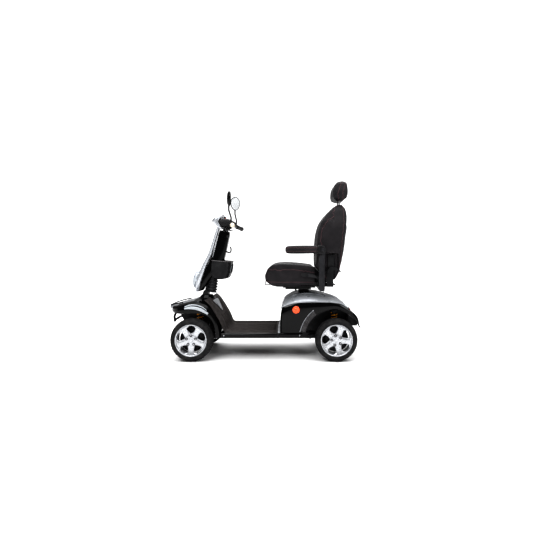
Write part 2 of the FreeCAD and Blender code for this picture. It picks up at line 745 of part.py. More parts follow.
def handlebar():
    half = bent_tube([(262, 0, 1072), (262, 100, 1072), (218, 270, 1053.6)], 60, 12)
    stem = bent_tube([(248, 150, 1070), (246, 150, 1122), (262, 170, 1180), (262, 170, 1226)], 16, 6)
    left = half.fuse(stem)
    other = left.mirror(V(0, 0, 0), V(0, 1, 0))
    return shaped("handlebar", left.fuse(other).removeSplitter())


def grip_shape(start, end, radius, bore, shoulder):
    way = V(*end) - V(*start)
    grip = Part.makeCylinder(radius, way.Length, V(*start), way)
    hole = Part.makeCylinder(bore, way.Length - shoulder, V(*start), way)
    return grip.cut(hole)


def handlebar_grips():
    left = grip_shape((243.9, 170, 1064.4), (212, 293.2, 1051.1), 18, 12.1, 22)
    right = left.mirror(V(0, 0, 0), V(0, 1, 0))
    return shaped("handlebar_grips", Part.makeCompound([left, right]))


def throttle_paddles():
    blade = [(280, 88), (292, 88), (300, 100), (294, 142), (276, 142), (274, 100)]
    left = pad("paddle_left", "plan", blade, 1026, 1032)
    bridge = box("paddle_bridge", (280, -92, 1024), (292, 92, 1032))
    post = rod("paddle_post", (286, 0, 1024), "z", 13.7, 7)
    return joined("throttle_lever", left, bridge, post, mirrored("paddle_right", left))


def brake_lever():
    route = [(292, 172, 1036), (280, 196, 1018), (262, 236, 1010), (250, 292, 1006)]
    blade = bent_tube(route, 20, 5)
    boss = Part.makeCylinder(8, 16, V(292, 172, 1028))
    return shaped("brake_lever", blade.fuse(boss).removeSplitter())


def console_controls():
    """The speed dial, the ignition key and the horn button on top of the console."""
    top = 1131
    dial = joined("speed_dial", rod("dial_stem", (330, 0, 1086), "z", 46, 5),
                  rod("dial_cap", (330, 0, top), "z", 12, 17, 15))
    blade = box("key_blade", (320, 43.5, top), (340, 46.5, top + 24))
    key = joined("ignition_key", rod("key_barrel", (330, 45, 1086), "z", 46, 5), blade)
    horn = joined("horn_button", rod("horn_stem", (330, -45, 1086), "z", 46, 6),
                  rod("horn_cap", (330, -45, top), "z", 7, 10))
    return [dial, key, horn]


def storage_box():
    side = [(290, 620), (392, 628), (416, 650), (400, 776), (246, 764), (251, 684)]
    half = size(100)
    outer = pad("box_outer", "side", side, -half, half, fillets=[((290, 620), 18), ((251, 684), 12)])
    inner = [(293, 624), (390, 632), (411, 652), (395, 800), (250, 800), (255, 685)]
    hollow = pad("box_inner", "side", inner, -half + 4, half - 4)
    shroud_room = box("box_shroud_way", (318, -50, 610), (430, 50, 790))
    return cut("storage_box", outer, hollow, shroud_room)


def bellows_shape():
    low, high, folds = 497, 604, 7
    step = (high - low) / folds
    radii = []
    for fold in range(folds):
        radii += [(24, low + step * fold), (32, low + step * (fold + 0.5))]
    radii.append((24, high))
    outer = [V(radius, 0, height) for radius, height in radii]
    corners = outer + [V(0, 0, high), V(0, 0, low), outer[0]]
    sleeve = Part.Face(Part.makePolygon(corners)).revolve(V(0, 0, 0), V(0, 0, 1), 360)
    sleeve.translate(V(0, 0, -low))
    sleeve.rotate(V(0, 0, 0), V(0, 1, 0), -8)
    sleeve.translate(V(424, 0, low))
    return sleeve


def tiller_bellows():
    """The ribbed rubber boot, cut off where it meets the shroud's sloping underside."""
    corners = [V(x, -60, z) for x, z in ((441, 557), (396, 609), (350, 665), (600, 700), (600, 530),
                                         (514, 541))]
    shroud_room = Part.Face(Part.makePolygon(corners + corners[:1])).extrude(V(0, 120, 0))
    return shaped("tiller_bellows", bellows_shape().cut(shroud_room))


def neck_cover():
    x = size("tilt_x")
    dome = rod("cover_dome", (x - 8, 0, 462), "z", 22, 62, 46)
    flange = rod("cover_flange", (x - 8, 0, 456.5), "z", 6, 68)
    solid = joined("cover_solid", dome, flange)
    opening = box("cover_way", (x - 26, -28, 440), (x + 30, 28, 500))
    return cut("neck_cover", solid, opening)


def mirror_head(turn):
    """The teardrop mirror on the left side, turned inwards, with a socket for its stem."""
    head = Part.makeSphere(52)
    stretch = FreeCAD.Matrix()
    stretch.scale(0.25, 1.0, 1.19)
    head = head.transformGeometry(stretch)
    head.rotate(V(0, 0, 0), V(0, 0, 1), turn)
    head.translate(V(262, 170, 1273))
    return head.cut(Part.makeCylinder(6.08, 62, V(262, 170, 1170)))


def mirrors():
    right = mirror_head(50).mirror(V(0, 0, 0), V(0, 1, 0))
    return [shaped("mirror_head_left", mirror_head(14)), shaped("mirror_head_right", right)]


# ---------------------------------------------------------------- seat

def seat_post():
    x = size("post_x")
    post = rod("post_tube", (x, 0, 215), "z", 318, "post_radius")
    collar = rod("post_collar", (x, 0, 526), "z", 7, 34)
    return joined("seat_post", post, collar)


def seat_swivel():
    x = size("post_x")
    head = rod("swivel_head", (x, 0, 533.3), "z", 12, 60, 48)
    bridge = box("rail_bridge", (x - 56, -150, 545), (x + 130, 150, 549))
    rails = [box(f"lower_rail_{n}", (x - 56, y - 14, 545), (x + 150, y + 14, 556))
             for n, y in enumerate((150, -150))]
    return joined("seat_swivel", head, bridge, *rails)


def seat_pan():
    top = size("pan_top")
    front, rear, x = size("pan_front_x"), size("pan_rear_x"), size("post_x")
    plate = box("pan_plate", (rear + 60, -190, top - 4), (front, 190, top))
    tongue = box("pan_tongue", (rear, -60, top - 4), (rear + 60, 60, top))
    rails = [box(f"upper_rail_{n}", (x - 90, y - 10, 556.3), (x + 170, y + 10, top - 4))
             for n, y in enumerate((150, -150))]
    arm_x = size("arm_x")
    receiver = box("arm_receiver", (arm_x - 17, -205, 540), (arm_x + 17, 205, top - 4))
    recline = size("recline_x")
    plates = [box(f"recline_plate_{n}", (recline - 26, y, top), (recline + 26, y + 5, 712))
              for n, y in enumerate((198, -203))]
    feet = [box(f"recline_foot_{n}", (recline - 26, y, top - 4), (recline + 26, y + 20, top))
            for n, y in enumerate((185, -205))]
    pins = [rod(f"recline_pin_{n}", ("recline_x", y, "recline_z"), "y", 46, 7)
            for n, y in enumerate((186, -232))]
    solid = joined("pan_solid", plate, tongue, *rails, receiver, *plates, *feet, *pins)
    way = box("receiver_bore", (arm_x - 12.1, -230, 543.9), (arm_x + 12.1, 230, 564.1))
    holes = [rod(f"accessory_hole_{n}", (rear + 20, y, top - 20), "z", 40, 5)
             for n, y in enumerate((40, -40))]
    return cut("seat_pan", solid, way, *holes)


def seat_cushion():
    low = size("pan_top") + 0.5
    top, front = size("cushion_top"), size("seat_front_x")
    side = [(front - 60, low), (front - 6, 606), (front, 655), (front - 22, 712), (front - 70, top - 8),
            (front - 130, top), (-300, top - 8), (-428, top - 24), (-432, 655), (-432, low)]
    half = size("seat_half_width")
    block = pad("cushion_block", "side", side, -half, half)
    plan = [(-440, -half + 12), (-440, half - 12), (-150, half), (-70, half - 22), (0, half - 90),
            (0, -half + 90), (-70, -half + 22), (-150, -half)]
    outline_block = pad("cushion_plan", "plan", plan, 500, 800)
    return common("seat_cushion", block, outline_block)


def backrest_frame():
    x, z = size("recline_x"), size("recline_z")
    board = box("back_board", (x - 34, -150, 640), (x - 26, 150, 1130))
    arms = []
    for n, y in enumerate((188, -196)):
        arms.append(rod(f"back_eye_{n}", ("recline_x", y, "recline_z"), "y", 8, 24))
        arms.append(box(f"back_arm_{n}", (x - 34, y, z - 8), (x + 16, y + 8, z + 120)))
    bar = box("back_bar", (x - 34, -192, z + 90), (x - 26, 192, z + 130))
    guides = [rod(f"head_guide_{n}", (-640, y, 1020), "z", 160, 9) for n, y in enumerate((55, -55))]
    links = [box(f"guide_link_{n}", (-642, y - 5, 1030), (x - 28, y + 5, 1120))
             for n, y in enumerate((55, -55))]
    solid = joined("back_solid", board, *arms, bar, *guides, *links)
    bores = [rod(f"recline_bore_{n}", ("recline_x", y, "recline_z"), "y", 30, 7.05)
             for n, y in enumerate((180, -210))]
    bores += [rod(f"guide_bore_{n}", (-640, y, 1035), "z", 200, 6.05)
              for n, y in enumerate((55, -55))]
    return cut("backrest_frame", solid, *bores)


def backrest_cushion():
    side = [(-561, 600), (-500, 640), (-440, 712), (-440, 807), (-445, 920), (-451, 1004),
            (-476, 1089), (-519, 1152), (-582, 1215), (-624, 1239), (-659, 1236), (-687, 1208),
            (-692, 1173), (-685, 1046), (-659, 864), (-640, 751), (-626, 681), (-600, 624)]
    half = size("back_half_width")
    block = pad("back_block", "side", side, -half, half)
    face = [(-half + 70, 590), (half - 70, 590), (half - 8, 700), (half, 900), (half - 12, 1080),
            (half - 60, 1190), (half - 110, "back_top"), (-half + 110, "back_top"),
            (-half + 60, 1190), (-half + 12, 1080), (-half, 900), (-half + 8, 700)]
    across = pad("back_face", "front", face, -720, -420)
    shape = common("back_outer", block, across)
    x, z = size("recline_x"), size("recline_z")
    slot = box("back_slot", (x - 37, -200, 560), (x - 23, 200, 1134))
    cheeks = [box(f"back_cheek_{n}", (x - 64, y, 560), (x + 34, y + 42, z + 132))
              for n, y in enumerate((183, -225))]
    tubes = [rod(f"tube_way_{n}", (-640, y, 1000), "z", 300, 11) for n, y in enumerate((55, -55))]
    links = [box(f"link_way_{n}", (-652, y - 7, 1018), (x - 30, y + 7, 1128))
             for n, y in enumerate((55, -55))]
    return cut("backrest_cushion", shape, slot, *cheeks, *tubes, *links)


def headrest_post():
    posts = [rod(f"head_rod_{n}", (-640, y, 1090), "z", 250, 6) for n, y in enumerate((55, -55))]
    bridge = rod("head_bridge", (-640, -55, 1340), "y", 110, 6)
    return joined("headrest_post", *posts, bridge)


def headrest_pad():
    side = [(-578, 1314), (-586, 1384), (-617, 1426), (-667, "head_top"), (-700, 1419), (-706, 1342),
            (-699, 1286), (-667, "head_low"), (-617, "head_low"), (-586, 1279)]
    block = pad("head_block", "side", side, -125, 125)
    face = [(-85, "head_low"), (85, "head_low"), (118, 1285), (125, 1350), (108, 1410),
            (70, "head_top"), (-70, "head_top"), (-108, 1410), (-125, 1350), (-118, 1285)]
    across = pad("head_face", "front", face, -720, -560)
    shape = common("head_outer", block, across)
    way = box("head_way", (-647, -62, 1250), (-633, 62, 1347))
    return cut("headrest_pad", shape, way)


def armrest_post():
    x, y, pivot = size("arm_x"), size("arm_y"), size("arm_pivot_z")
    slide = box("arm_slide", (x - 12, 100, 544), (x + 12, y + 8, 564))
    side = [(x - 20, 541), (x + 20, 541), (x + 22, 560), (x + 20, 800), (x + 4, 838), (x + 2, 852),
            (x - 24, 852), (x - 26, 838), (x - 22, 800), (x - 24, 560)]
    post = pad("arm_upright", "side", side, y - 14, y + 14, fillets=[(side[0], 14), (side[1], 14)])
    eye = rod("arm_eye", (x - 11, y - 9, pivot), "y", 18, 17)
    neck = box("arm_eye_neck", (x - 22, y - 9, 830), (x, y + 9, pivot))
    pin = rod("arm_pin", (x - 11, y - 25, pivot), "y", 50, 5)
    solid = joined("armrest_post_left", slide, post, eye, neck, pin)
    return solid


def armrest():
    x, y, pivot = size("arm_x"), size("arm_y"), size("arm_pivot_z")
    side = [(x + 20, 828), (-205, 830), (-190, 842), (-187, 862), (-198, 880), (-215, 886),
            (x + 60, 899), (x - 20, 893), (x - 34, 876), (x - 34, 850), (x - 26, 836)]
    block = pad("arm_pad", "side", side, y - 30, y + 30)
    notch = box("arm_notch", (x - 80, y - 14.5, 780), (x + 30, y + 14.5, 880))
    bore = rod("arm_bore", (x - 11, y - 40, pivot), "y", 80, 5.05)
    return cut("armrest_left", block, notch, bore)


def seat_levers():
    """The slide lever under the seat's right side, and the swivel and recline levers on its left."""
    bar = shaped("slide_bar", bent_tube(
        [(-150, -175, 559), (-60, -175, 552), (-5, -175, 549), (-17, -175, 590)], 8, 3.5))
    slide = joined("slide_lever", bar, rod("slide_boss", (-150, -180, 559), "y", 10, 5.5))
    swivel_x = size("post_x") + 60
    blade = box("swivel_blade", (swivel_x, 40, 536), (swivel_x + 14, 228, 541))
    hub = rod("swivel_hub", (swivel_x + 7, 44, 535.5), "z", 9.2, 9)
    swivel = joined("swivel_lever", blade, hub)
    x, z = size("recline_x"), size("recline_z")
    grip = [(x + 22, z - 2), (x + 4, z + 24), (x - 34, z + 26), (x - 66, z + 8), (x - 84, z - 6),
            (x - 78, z - 14), (x - 56, z - 6), (x - 30, z + 6), (x - 8, z - 20), (x + 14, z - 20)]
    plate = pad("recline_grip", "side", grip, 216, 228, fillets=[(grip[1], 14), (grip[2], 18)])
    bore = rod("recline_lever_bore", (x, 200, z), "y", 40, 7.05)
    return [slide, swivel, cut("recline_lever", plate, bore)]


# ---------------------------------------------------------------- the whole scooter

def build():
    parts = [main_frame(), footwell(), floor_mat(), front_cowl(), front_light_lenses(),
             front_bumper(), side_panels(), rear_cover(), rear_mudguards(), side_indicators(),
             tail_lights(), batteries(), freewheel_lever()]
    parts += wheels() + springs()
    left_knuckle = knuckle()
    parts += [front_axle_beam(), left_knuckle, mirrored("knuckle_right", left_knuckle), tie_rod(),
              rear_transaxle(), steering_stem()]
    parts += [tiller_column(), tiller_shroud(), tiller_fascia()]
    DOC.recompute()
    parts += [headlamp(), console_housing(), handlebar(), handlebar_grips(), throttle_paddles(),
              brake_lever(), storage_box(), tiller_bellows()]
    parts += console_controls() + mirrors()
    post, rest = armrest_post(), armrest()
    parts += [seat_post(), seat_swivel(), seat_pan(), seat_cushion(), backrest_frame(),
              backrest_cushion(), headrest_post(), headrest_pad(), post,
              mirrored("armrest_post_right", post), rest, mirrored("armrest_right", rest)]
    parts += seat_levers()
    return parts


def check_and_write(parts):
    DOC.recompute()
    for item in DOC.Objects:
        if {"Invalid", "Error"} & set(item.State):
            raise RuntimeError(f"{item.Name} failed: {item.State}")
    for part in parts:
        if part.Shape.isNull() or not part.Shape.isValid() or part.Shape.Volume < 1:
            raise RuntimeError(f"{part.Name} has no valid shape")
    os.makedirs("parts", exist_ok=True)
    for part in parts:
        part.Shape.exportStep(f"parts/{part.Name}.step")


check_and_write(build())
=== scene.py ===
import math

import bmesh
import bpy
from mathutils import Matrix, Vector
from mathutils.bvhtree import BVHTree
from mathutils.kdtree import KDTree


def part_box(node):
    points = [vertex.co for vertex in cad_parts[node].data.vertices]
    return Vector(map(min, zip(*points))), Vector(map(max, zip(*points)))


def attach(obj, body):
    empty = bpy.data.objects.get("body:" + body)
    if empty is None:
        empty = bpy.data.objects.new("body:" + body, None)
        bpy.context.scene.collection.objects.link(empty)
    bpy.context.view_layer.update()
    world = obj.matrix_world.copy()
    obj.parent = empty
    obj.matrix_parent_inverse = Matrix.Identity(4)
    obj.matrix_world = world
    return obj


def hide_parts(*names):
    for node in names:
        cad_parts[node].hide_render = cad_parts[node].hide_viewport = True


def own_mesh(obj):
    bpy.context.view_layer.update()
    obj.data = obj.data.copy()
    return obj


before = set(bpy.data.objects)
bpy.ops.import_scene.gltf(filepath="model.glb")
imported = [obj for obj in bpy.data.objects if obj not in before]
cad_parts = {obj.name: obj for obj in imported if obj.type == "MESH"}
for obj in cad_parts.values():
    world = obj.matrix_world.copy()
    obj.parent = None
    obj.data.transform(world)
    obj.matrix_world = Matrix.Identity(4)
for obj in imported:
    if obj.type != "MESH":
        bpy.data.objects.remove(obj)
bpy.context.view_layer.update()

# A large four-wheel mobility scooter, in metres: +X forward, +Y the rider's left, +Z up.

TYRE_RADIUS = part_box("tyre_front_left")[1][2] / 2
FRONT_AXLE_X = (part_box("tyre_front_left")[0][0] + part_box("tyre_front_left")[1][0]) / 2
REAR_AXLE_X = (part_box("tyre_rear_left")[0][0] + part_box("tyre_rear_left")[1][0]) / 2
BODY_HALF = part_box("front_cowl")[1][1]
SIDES = (("left", 1), ("right", -1))
SEAT_POST_X = -0.343
STEERING_X = 0.472
ARM_Y = 0.272


# ---------------------------------------------------------------- materials

def shader(name, color, roughness, **sockets):
    """A Principled material. Uniform values are set on the shader's own sockets."""
    material = bpy.data.materials.new(name)
    material.use_nodes = True
    node = material.node_tree.nodes["Principled BSDF"]
    node.inputs["Base Color"].default_value = (*color, 1)
    node.inputs["Roughness"].default_value = roughness
    for socket, value in sockets.items():
        node.inputs[socket.replace("_", " ").title().replace("Ior", "IOR")].default_value = value
    return material


def coordinates(material, stretch=(1, 1, 1)):
    """Object coordinates in metres, stretched."""
    tree = material.node_tree
    source = tree.nodes.new("ShaderNodeTexCoord")
    mapping = tree.nodes.new("ShaderNodeMapping")
    mapping.inputs["Scale"].default_value = stretch
    tree.links.new(source.outputs["Object"], mapping.inputs["Vector"])
    return mapping.outputs["Vector"]


def texture(material, kind, scale, stretch=(1, 1, 1), **values):
    """A Noise, Voronoi or Wave texture in object coordinates."""
    tree = material.node_tree
    node = tree.nodes.new(f"ShaderNodeTex{kind}")
    node.inputs["Scale"].default_value = scale
    for socket, value in values.items():
        if socket == "feature":
            node.feature = value
        else:
            node.inputs[socket.title()].default_value = value
    tree.links.new(coordinates(material, stretch), node.inputs["Vector"])
    return node


def bump(material, height, strength, distance):
    """Adds a bump on top of any that the material has already."""
    tree = material.node_tree
    normal = tree.nodes["Principled BSDF"].inputs["Normal"]
    node = tree.nodes.new("ShaderNodeBump")
    node.inputs["Strength"].default_value = strength
    node.inputs["Distance"].default_value = distance
    if normal.is_linked:
        tree.links.new(normal.links[0].from_socket, node.inputs["Normal"])
    tree.links.new(height, node.inputs["Height"])
    tree.links.new(node.outputs["Normal"], normal)


def ramp(material, factor, low, high, first, second, target):
    """Maps a texture to a colour or a grey between two values and feeds a shader socket."""
    tree = material.node_tree
    node = tree.nodes.new("ShaderNodeValToRGB")
    node.color_ramp.elements[0].position = low
    node.color_ramp.elements[1].position = high
    node.color_ramp.elements[0].color = first
    node.color_ramp.elements[1].color = second
    tree.links.new(factor, node.inputs["Fac"])
    tree.links.new(node.outputs["Color"], tree.nodes["Principled BSDF"].inputs[target])


def tint(material, factor, low, high, first, second):
    """Blends the base colour between two colours."""
    ramp(material, factor, low, high, (*first, 1), (*second, 1), "Base Color")


def sheen(material, factor, low, high, first, second):
    """Blends the roughness between two values."""
    ramp(material, factor, low, high, (first, first, first, 1), (second, second, second, 1), "Roughness")


def gloss_black():
    """Deep gloss lacquer with a faint orange peel and smears that change the gloss."""
    made = shader("gloss_black", (0.0015, 0.0015, 0.0017), 0.08, specular_ior_level=0.24)
    smear = texture(made, "Noise", 9, detail=6)
    sheen(made, smear.outputs["Fac"], 0.35, 0.75, 0.06, 0.16)
    peel = texture(made, "Noise", 160, detail=2)
    bump(made, peel.outputs["Fac"], 0.05, 0.0006)
    return made


def silver_paint(name="silver_paint", color=(0.62, 0.64, 0.67), dark=(0.50, 0.52, 0.56)):
    """Metallic paint: fine flakes under a clear coat."""
    made = shader(name, color, 0.3, metallic=0.55, coat_weight=0.7, coat_roughness=0.05)
    flakes = texture(made, "Voronoi", 2600)
    tint(made, flakes.outputs["Distance"], 0.1, 0.7, color, dark)
    cloud = texture(made, "Noise", 14, detail=4)
    sheen(made, cloud.outputs["Fac"], 0.3, 0.7, 0.24, 0.36)
    bump(made, flakes.outputs["Distance"], 0.04, 0.0002)
    return made


def moulded(name, color, worn, roughness=0.5, grain=900):
    """Grained injection-moulded plastic with slightly lighter rubbed patches."""
    made = shader(name, color, roughness, specular_ior_level=0.25)
    patch = texture(made, "Noise", 18, detail=5)
    tint(made, patch.outputs["Fac"], 0.4, 0.8, color, worn)
    pits = texture(made, "Voronoi", grain)
    bump(made, pits.outputs["Distance"], 0.25, 0.0003)
    sheen(made, patch.outputs["Color"], 0.3, 0.7, roughness - 0.08, roughness + 0.1)
    return made


def leather(name="leather", color=(0.013, 0.012, 0.0135), worn=(0.025, 0.022, 0.024)):
    """Charcoal upholstery: cell grain, soft creases and a rubbed, slightly warmer tone."""
    made = shader(name, color, 0.5, sheen_weight=0.02, specular_ior_level=0.18)
    rub = texture(made, "Noise", 11, detail=6)
    tint(made, rub.outputs["Fac"], 0.35, 0.75, color, worn)
    sheen(made, rub.outputs["Color"], 0.3, 0.7, 0.42, 0.60)
    cells = texture(made, "Voronoi", 620, feature="DISTANCE_TO_EDGE")
    bump(made, cells.outputs["Distance"], 0.35, 0.0005)
    creases = texture(made, "Noise", 46, (1, 0.5, 1), detail=3)
    bump(made, creases.outputs["Fac"], 0.22, 0.002)
    return made


def rubber(name, color, dust, roughness=0.72):
    made = shader(name, color, roughness, specular_ior_level=0.18)
    film = texture(made, "Noise", 24, detail=7)
    tint(made, film.outputs["Fac"], 0.42, 0.78, color, dust)
    fine = texture(made, "Noise", 700, detail=2)
    bump(made, fine.outputs["Fac"], 0.3, 0.0004)
    return made


def metal(name, color, roughness, stretch=(1, 1, 1), metallic=1.0):
    """Bare or lacquered metal with fine directional scratches."""
    made = shader(name, color, roughness, metallic=metallic)
    scratches = texture(made, "Noise", 240, stretch, detail=5)
    sheen(made, scratches.outputs["Fac"], 0.3, 0.7, roughness * 0.8, roughness * 1.4)
    bump(made, scratches.outputs["Fac"], 0.06, 0.0002)
    return made


def lens(name, color, roughness=0.08, transmission=0.35):
    """Moulded lamp lens with fine optic ribs."""
    made = shader(name, color, roughness, transmission_weight=transmission, coat_weight=0.5, ior=1.49)
    ribs = texture(made, "Wave", 60, (1, 0.2, 1), distortion=0.4)
    bump(made, ribs.outputs["Fac"], 0.25, 0.0008)
    haze = texture(made, "Noise", 30, detail=4)
    sheen(made, haze.outputs["Fac"], 0.3, 0.8, roughness, roughness + 0.12)
    return made


GLOSS_BLACK = gloss_black()
SILVER = silver_paint()
PEARL = silver_paint("pearl_silver", (0.56, 0.57, 0.60), (0.46, 0.48, 0.51))
# Blue-grey: the headlamp bezel's paint, and painted shade on the rear cover's raised middle.
BLUE_GREY_AND_SHADE = silver_paint("blue_grey_paint_and_shade", (0.21, 0.23, 0.28), (0.16, 0.18, 0.23))
ALLOY = metal("alloy_lacquer", (0.50, 0.51, 0.53), 0.24, metallic=0.7)
STEEL = metal("bare_steel", (0.48, 0.48, 0.50), 0.34, (1, 1, 0.1))
CHROME = metal("chrome", (0.82, 0.82, 0.84), 0.08)
FRAME_PAINT = moulded("frame_powder_coat", (0.006, 0.006, 0.007), (0.018, 0.018, 0.019), 0.4, 1500)
BLACK_PLASTIC = moulded("black_plastic", (0.007, 0.007, 0.008), (0.020, 0.020, 0.021), 0.45)
GREY_PLASTIC = moulded("grey_plastic", (0.013, 0.013, 0.015), (0.028, 0.028, 0.031), 0.46)
MID_GREY = moulded("mid_grey_plastic", (0.085, 0.080, 0.083), (0.13, 0.125, 0.128), 0.45)
LEATHER = leather()
# Dusky pink for piping and stitches: partly their own colour, partly a painted highlight along the seams.
PIPING_HIGHLIGHT = leather("piping", (0.060, 0.034, 0.038), (0.085, 0.050, 0.055))
TYRE_RUBBER = rubber("tyre_rubber", (0.013, 0.013, 0.014), (0.030, 0.029, 0.028))
SOFT_RUBBER = rubber("soft_rubber", (0.024, 0.024, 0.026), (0.044, 0.044, 0.046), 0.36)
MAT_RUBBER = rubber("mat_rubber", (0.030, 0.026, 0.025), (0.052, 0.046, 0.044))
SPRING_PAINT = metal("spring_paint", (0.85, 0.36, 0.02), 0.3, metallic=0.0)
CLEAR_LENS = lens("clear_lens", (0.60, 0.64, 0.68))
AMBER_LENS = lens("amber_lens", (0.95, 0.10, 0.015), 0.14, 0.1)
RED_LENS = lens("red_lens", (0.55, 0.004, 0.006), 0.12, 0.1)
CREAM = lens("cream_tip", (0.82, 0.72, 0.58), 0.25, 0.2)
MIRROR_GLASS = metal("mirror_glass", (0.88, 0.90, 0.92), 0.06, metallic=0.3)


def dress(material, *nodes):
    """Gives CAD nodes a finished material."""
    for node in nodes:
        slots = bpy.data.objects[node].material_slots
        if not slots:
            bpy.data.objects[node].data.materials.append(material)
        for slot in slots:
            slot.material = material


# ---------------------------------------------------------------- mesh helpers

def place_piece(obj, body, nodes=()):
    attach(obj, body)
    if nodes:
        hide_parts(*nodes)
    return obj


def mesh_piece(name, skin, *materials, smooth=True):
    """A piece made of a skin, which is a pair of points and faces."""
    points, faces = skin
    mesh = bpy.data.meshes.new(name)
    mesh.from_pydata([tuple(point) for point in points], [], faces)
    mesh.validate()
    for material in materials:
        mesh.materials.append(material)
    edit = bmesh.new()
    edit.from_mesh(mesh)
    bmesh.ops.remove_doubles(edit, verts=edit.verts, dist=0.00001)
    bmesh.ops.recalc_face_normals(edit, faces=edit.faces)
    edit.to_mesh(mesh)
    edit.free()
    for polygon in mesh.polygons:
        polygon.use_smooth = smooth
    obj = bpy.data.objects.new(name, mesh)
    bpy.context.scene.collection.objects.link(obj)
    return obj


def both_sides(half):
    """A symmetrical line: the given half, then the same points on the other side, back again."""
    return half + [(x, -y, z) for x, y, z in reversed(half)]


def circle(steps):
    """The cosine and sine of evenly spaced angles."""
    angles = [2 * math.pi * n / steps for n in range(steps)]
    return [(math.cos(angle), math.sin(angle)) for angle in angles]


def open_skin(rings):
    """The skin through rings that are open lines, such as one side of a shell."""
    return sections(rings, closed=False, caps=False)


def sections(rings, closed=True, caps=True):
    """Points and faces of a skin through rings with the same number of points."""
    count = len(rings[0])
    points = [point for ring in rings for point in ring]
    faces = []
    across = count if closed else count - 1
    for level in range(len(rings) - 1):
        for n in range(across):
            start, after = level * count + n, level * count + (n + 1) % count
            faces.append((start, after, after + count, start + count))
    if caps and closed:
        faces.append(tuple(range(count)))
        faces.append(tuple(range(len(points) - count, len(points))))
    return points, faces


def modify(obj, kind, **values):
    modifier = obj.modifiers.new(kind.lower(), kind)
    for name, value in values.items():
        setattr(modifier, name, value)
    return obj


def shell(obj, thickness=0.004, levels=2, offset=-1):
    """Turns a single skin into a moulded wall with rounded edges."""
    modify(obj, "SOLIDIFY", thickness=thickness, offset=offset)
    modify(obj, "BEVEL", width=thickness * 0.3, segments=2, limit_method="ANGLE")
    return modify(obj, "SUBSURF", levels=levels, render_levels=levels)


def rounded(obj, width=0.004, segments=3, levels=0):
    modify(obj, "BEVEL", width=width, segments=segments, limit_method="ANGLE")
    if levels:
        modify(obj, "SUBSURF", levels=levels, render_levels=levels)
    return obj


def spline(points, steps, closed=False):
    """A Catmull-Rom curve through points, as a list of vectors."""
    points = [Vector(point) for point in points]
    count = len(points)
    spans = count if closed else count - 1
    made = []
    for span in range(spans):
        if closed:
            a, b, c, d = (points[(span + k) % count] for k in (-1, 0, 1, 2))
        else:
            b, c = points[span], points[span + 1]
            a = points[span - 1] if span else b * 2 - c
            d = points[span + 2] if span + 2 < count else c * 2 - b
        for step in range(steps):
            t = step / steps
            made.append(0.5 * ((2 * b) + (c - a) * t + (2 * a - 5 * b + 4 * c - d) * t * t
                               + (3 * b - a - 3 * c + d) * t ** 3))
    if not closed:
        made.append(points[-1])
    return made


def tube(name, points, radius, material, closed=False, steps=8, resolution=4):
    """A round bar or bead along a smooth curve, as a mesh."""
    curve = bpy.data.curves.new(name, "CURVE")
    curve.dimensions = "3D"
    curve.bevel_depth = radius
    curve.bevel_resolution = resolution
    curve.use_fill_caps = True
    line = curve.splines.new("POLY")
    route = spline(points, steps, closed)
    line.points.add(len(route) - 1)
    for point, place in zip(line.points, route):
        point.co = (*place, 1)
    line.use_cyclic_u = closed
    holder = bpy.data.objects.new(f"{name}_curve", curve)
    mesh = bpy.data.meshes.new_from_object(holder)
    bpy.data.objects.remove(holder)
    mesh.materials.clear()
    mesh.materials.append(material)
    for polygon in mesh.polygons:
        polygon.use_smooth = True
    obj = bpy.data.objects.new(name, mesh)
    bpy.context.scene.collection.objects.link(obj)
    return obj


def mirror_y(obj, name):
    """A copy of a piece on the other side, with its modifiers."""
    twin = obj.copy()
    twin.name = name
    twin.data = obj.data.copy()
    for vertex in twin.data.vertices:
        vertex.co.y = -vertex.co.y
    twin.data.flip_normals()
    bpy.context.scene.collection.objects.link(twin)
    return twin


def plate(name, outline, low, high, material, axis="y"):
    """A flat shape given as (x, z) points, or (x, y) for axis z, with a thickness."""
    if axis == "y":
        rings = [[(x, depth, z) for x, z in outline] for depth in (low, high)]
    else:
        rings = [[(x, y, depth) for x, y in outline] for depth in (low, high)]
    return mesh_piece(name, sections(rings), material, smooth=False)


# ---------------------------------------------------------------- wheels

WHEELS = [(end, side, x, y) for end, x in (("front", FRONT_AXLE_X), ("rear", REAR_AXLE_X))
          for side, y in SIDES]
HALF_TYRE = (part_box("tyre_front_left")[1][1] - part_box("tyre_front_left")[0][1]) / 2
WHEEL_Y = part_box("tyre_front_left")[0][1] + HALF_TYRE
RIM_RADIUS = 0.121
SPOKES = 5


def turned(profile, steps):
    """The closed skin of a profile of (radius, y) pairs turned about the Y axis."""
    rings = [[(r * cos, y, r * sin) for r, y in profile] for cos, sin in circle(steps)]
    return sections(rings + [rings[0]], caps=False)


def tyre_profile(groove):
    """Half of a low-profile tyre's section from tread centre to bead, as (radius, y)."""
    top = TYRE_RADIUS - 0.0003
    tread = ((0.0, 0.0), (0.0002, 0.16), (groove, 0.19), (groove, 0.25), (0.0006, 0.28), (0.0018, 0.48),
             (0.0022 + groove, 0.51), (0.0022 + groove, 0.57), (0.0036, 0.60), (0.008, 0.80),
             (0.016, 0.94), (0.026, 0.995))
    wall = ((0.010, 0.97), (0.0085, 0.93), (0.003, 0.90), (0.0005, 0.82), (0.0004, 0.5))
    return ([(top - down, HALF_TYRE * share) for down, share in tread]
            + [(RIM_RADIUS + up, HALF_TYRE * share) for up, share in wall])


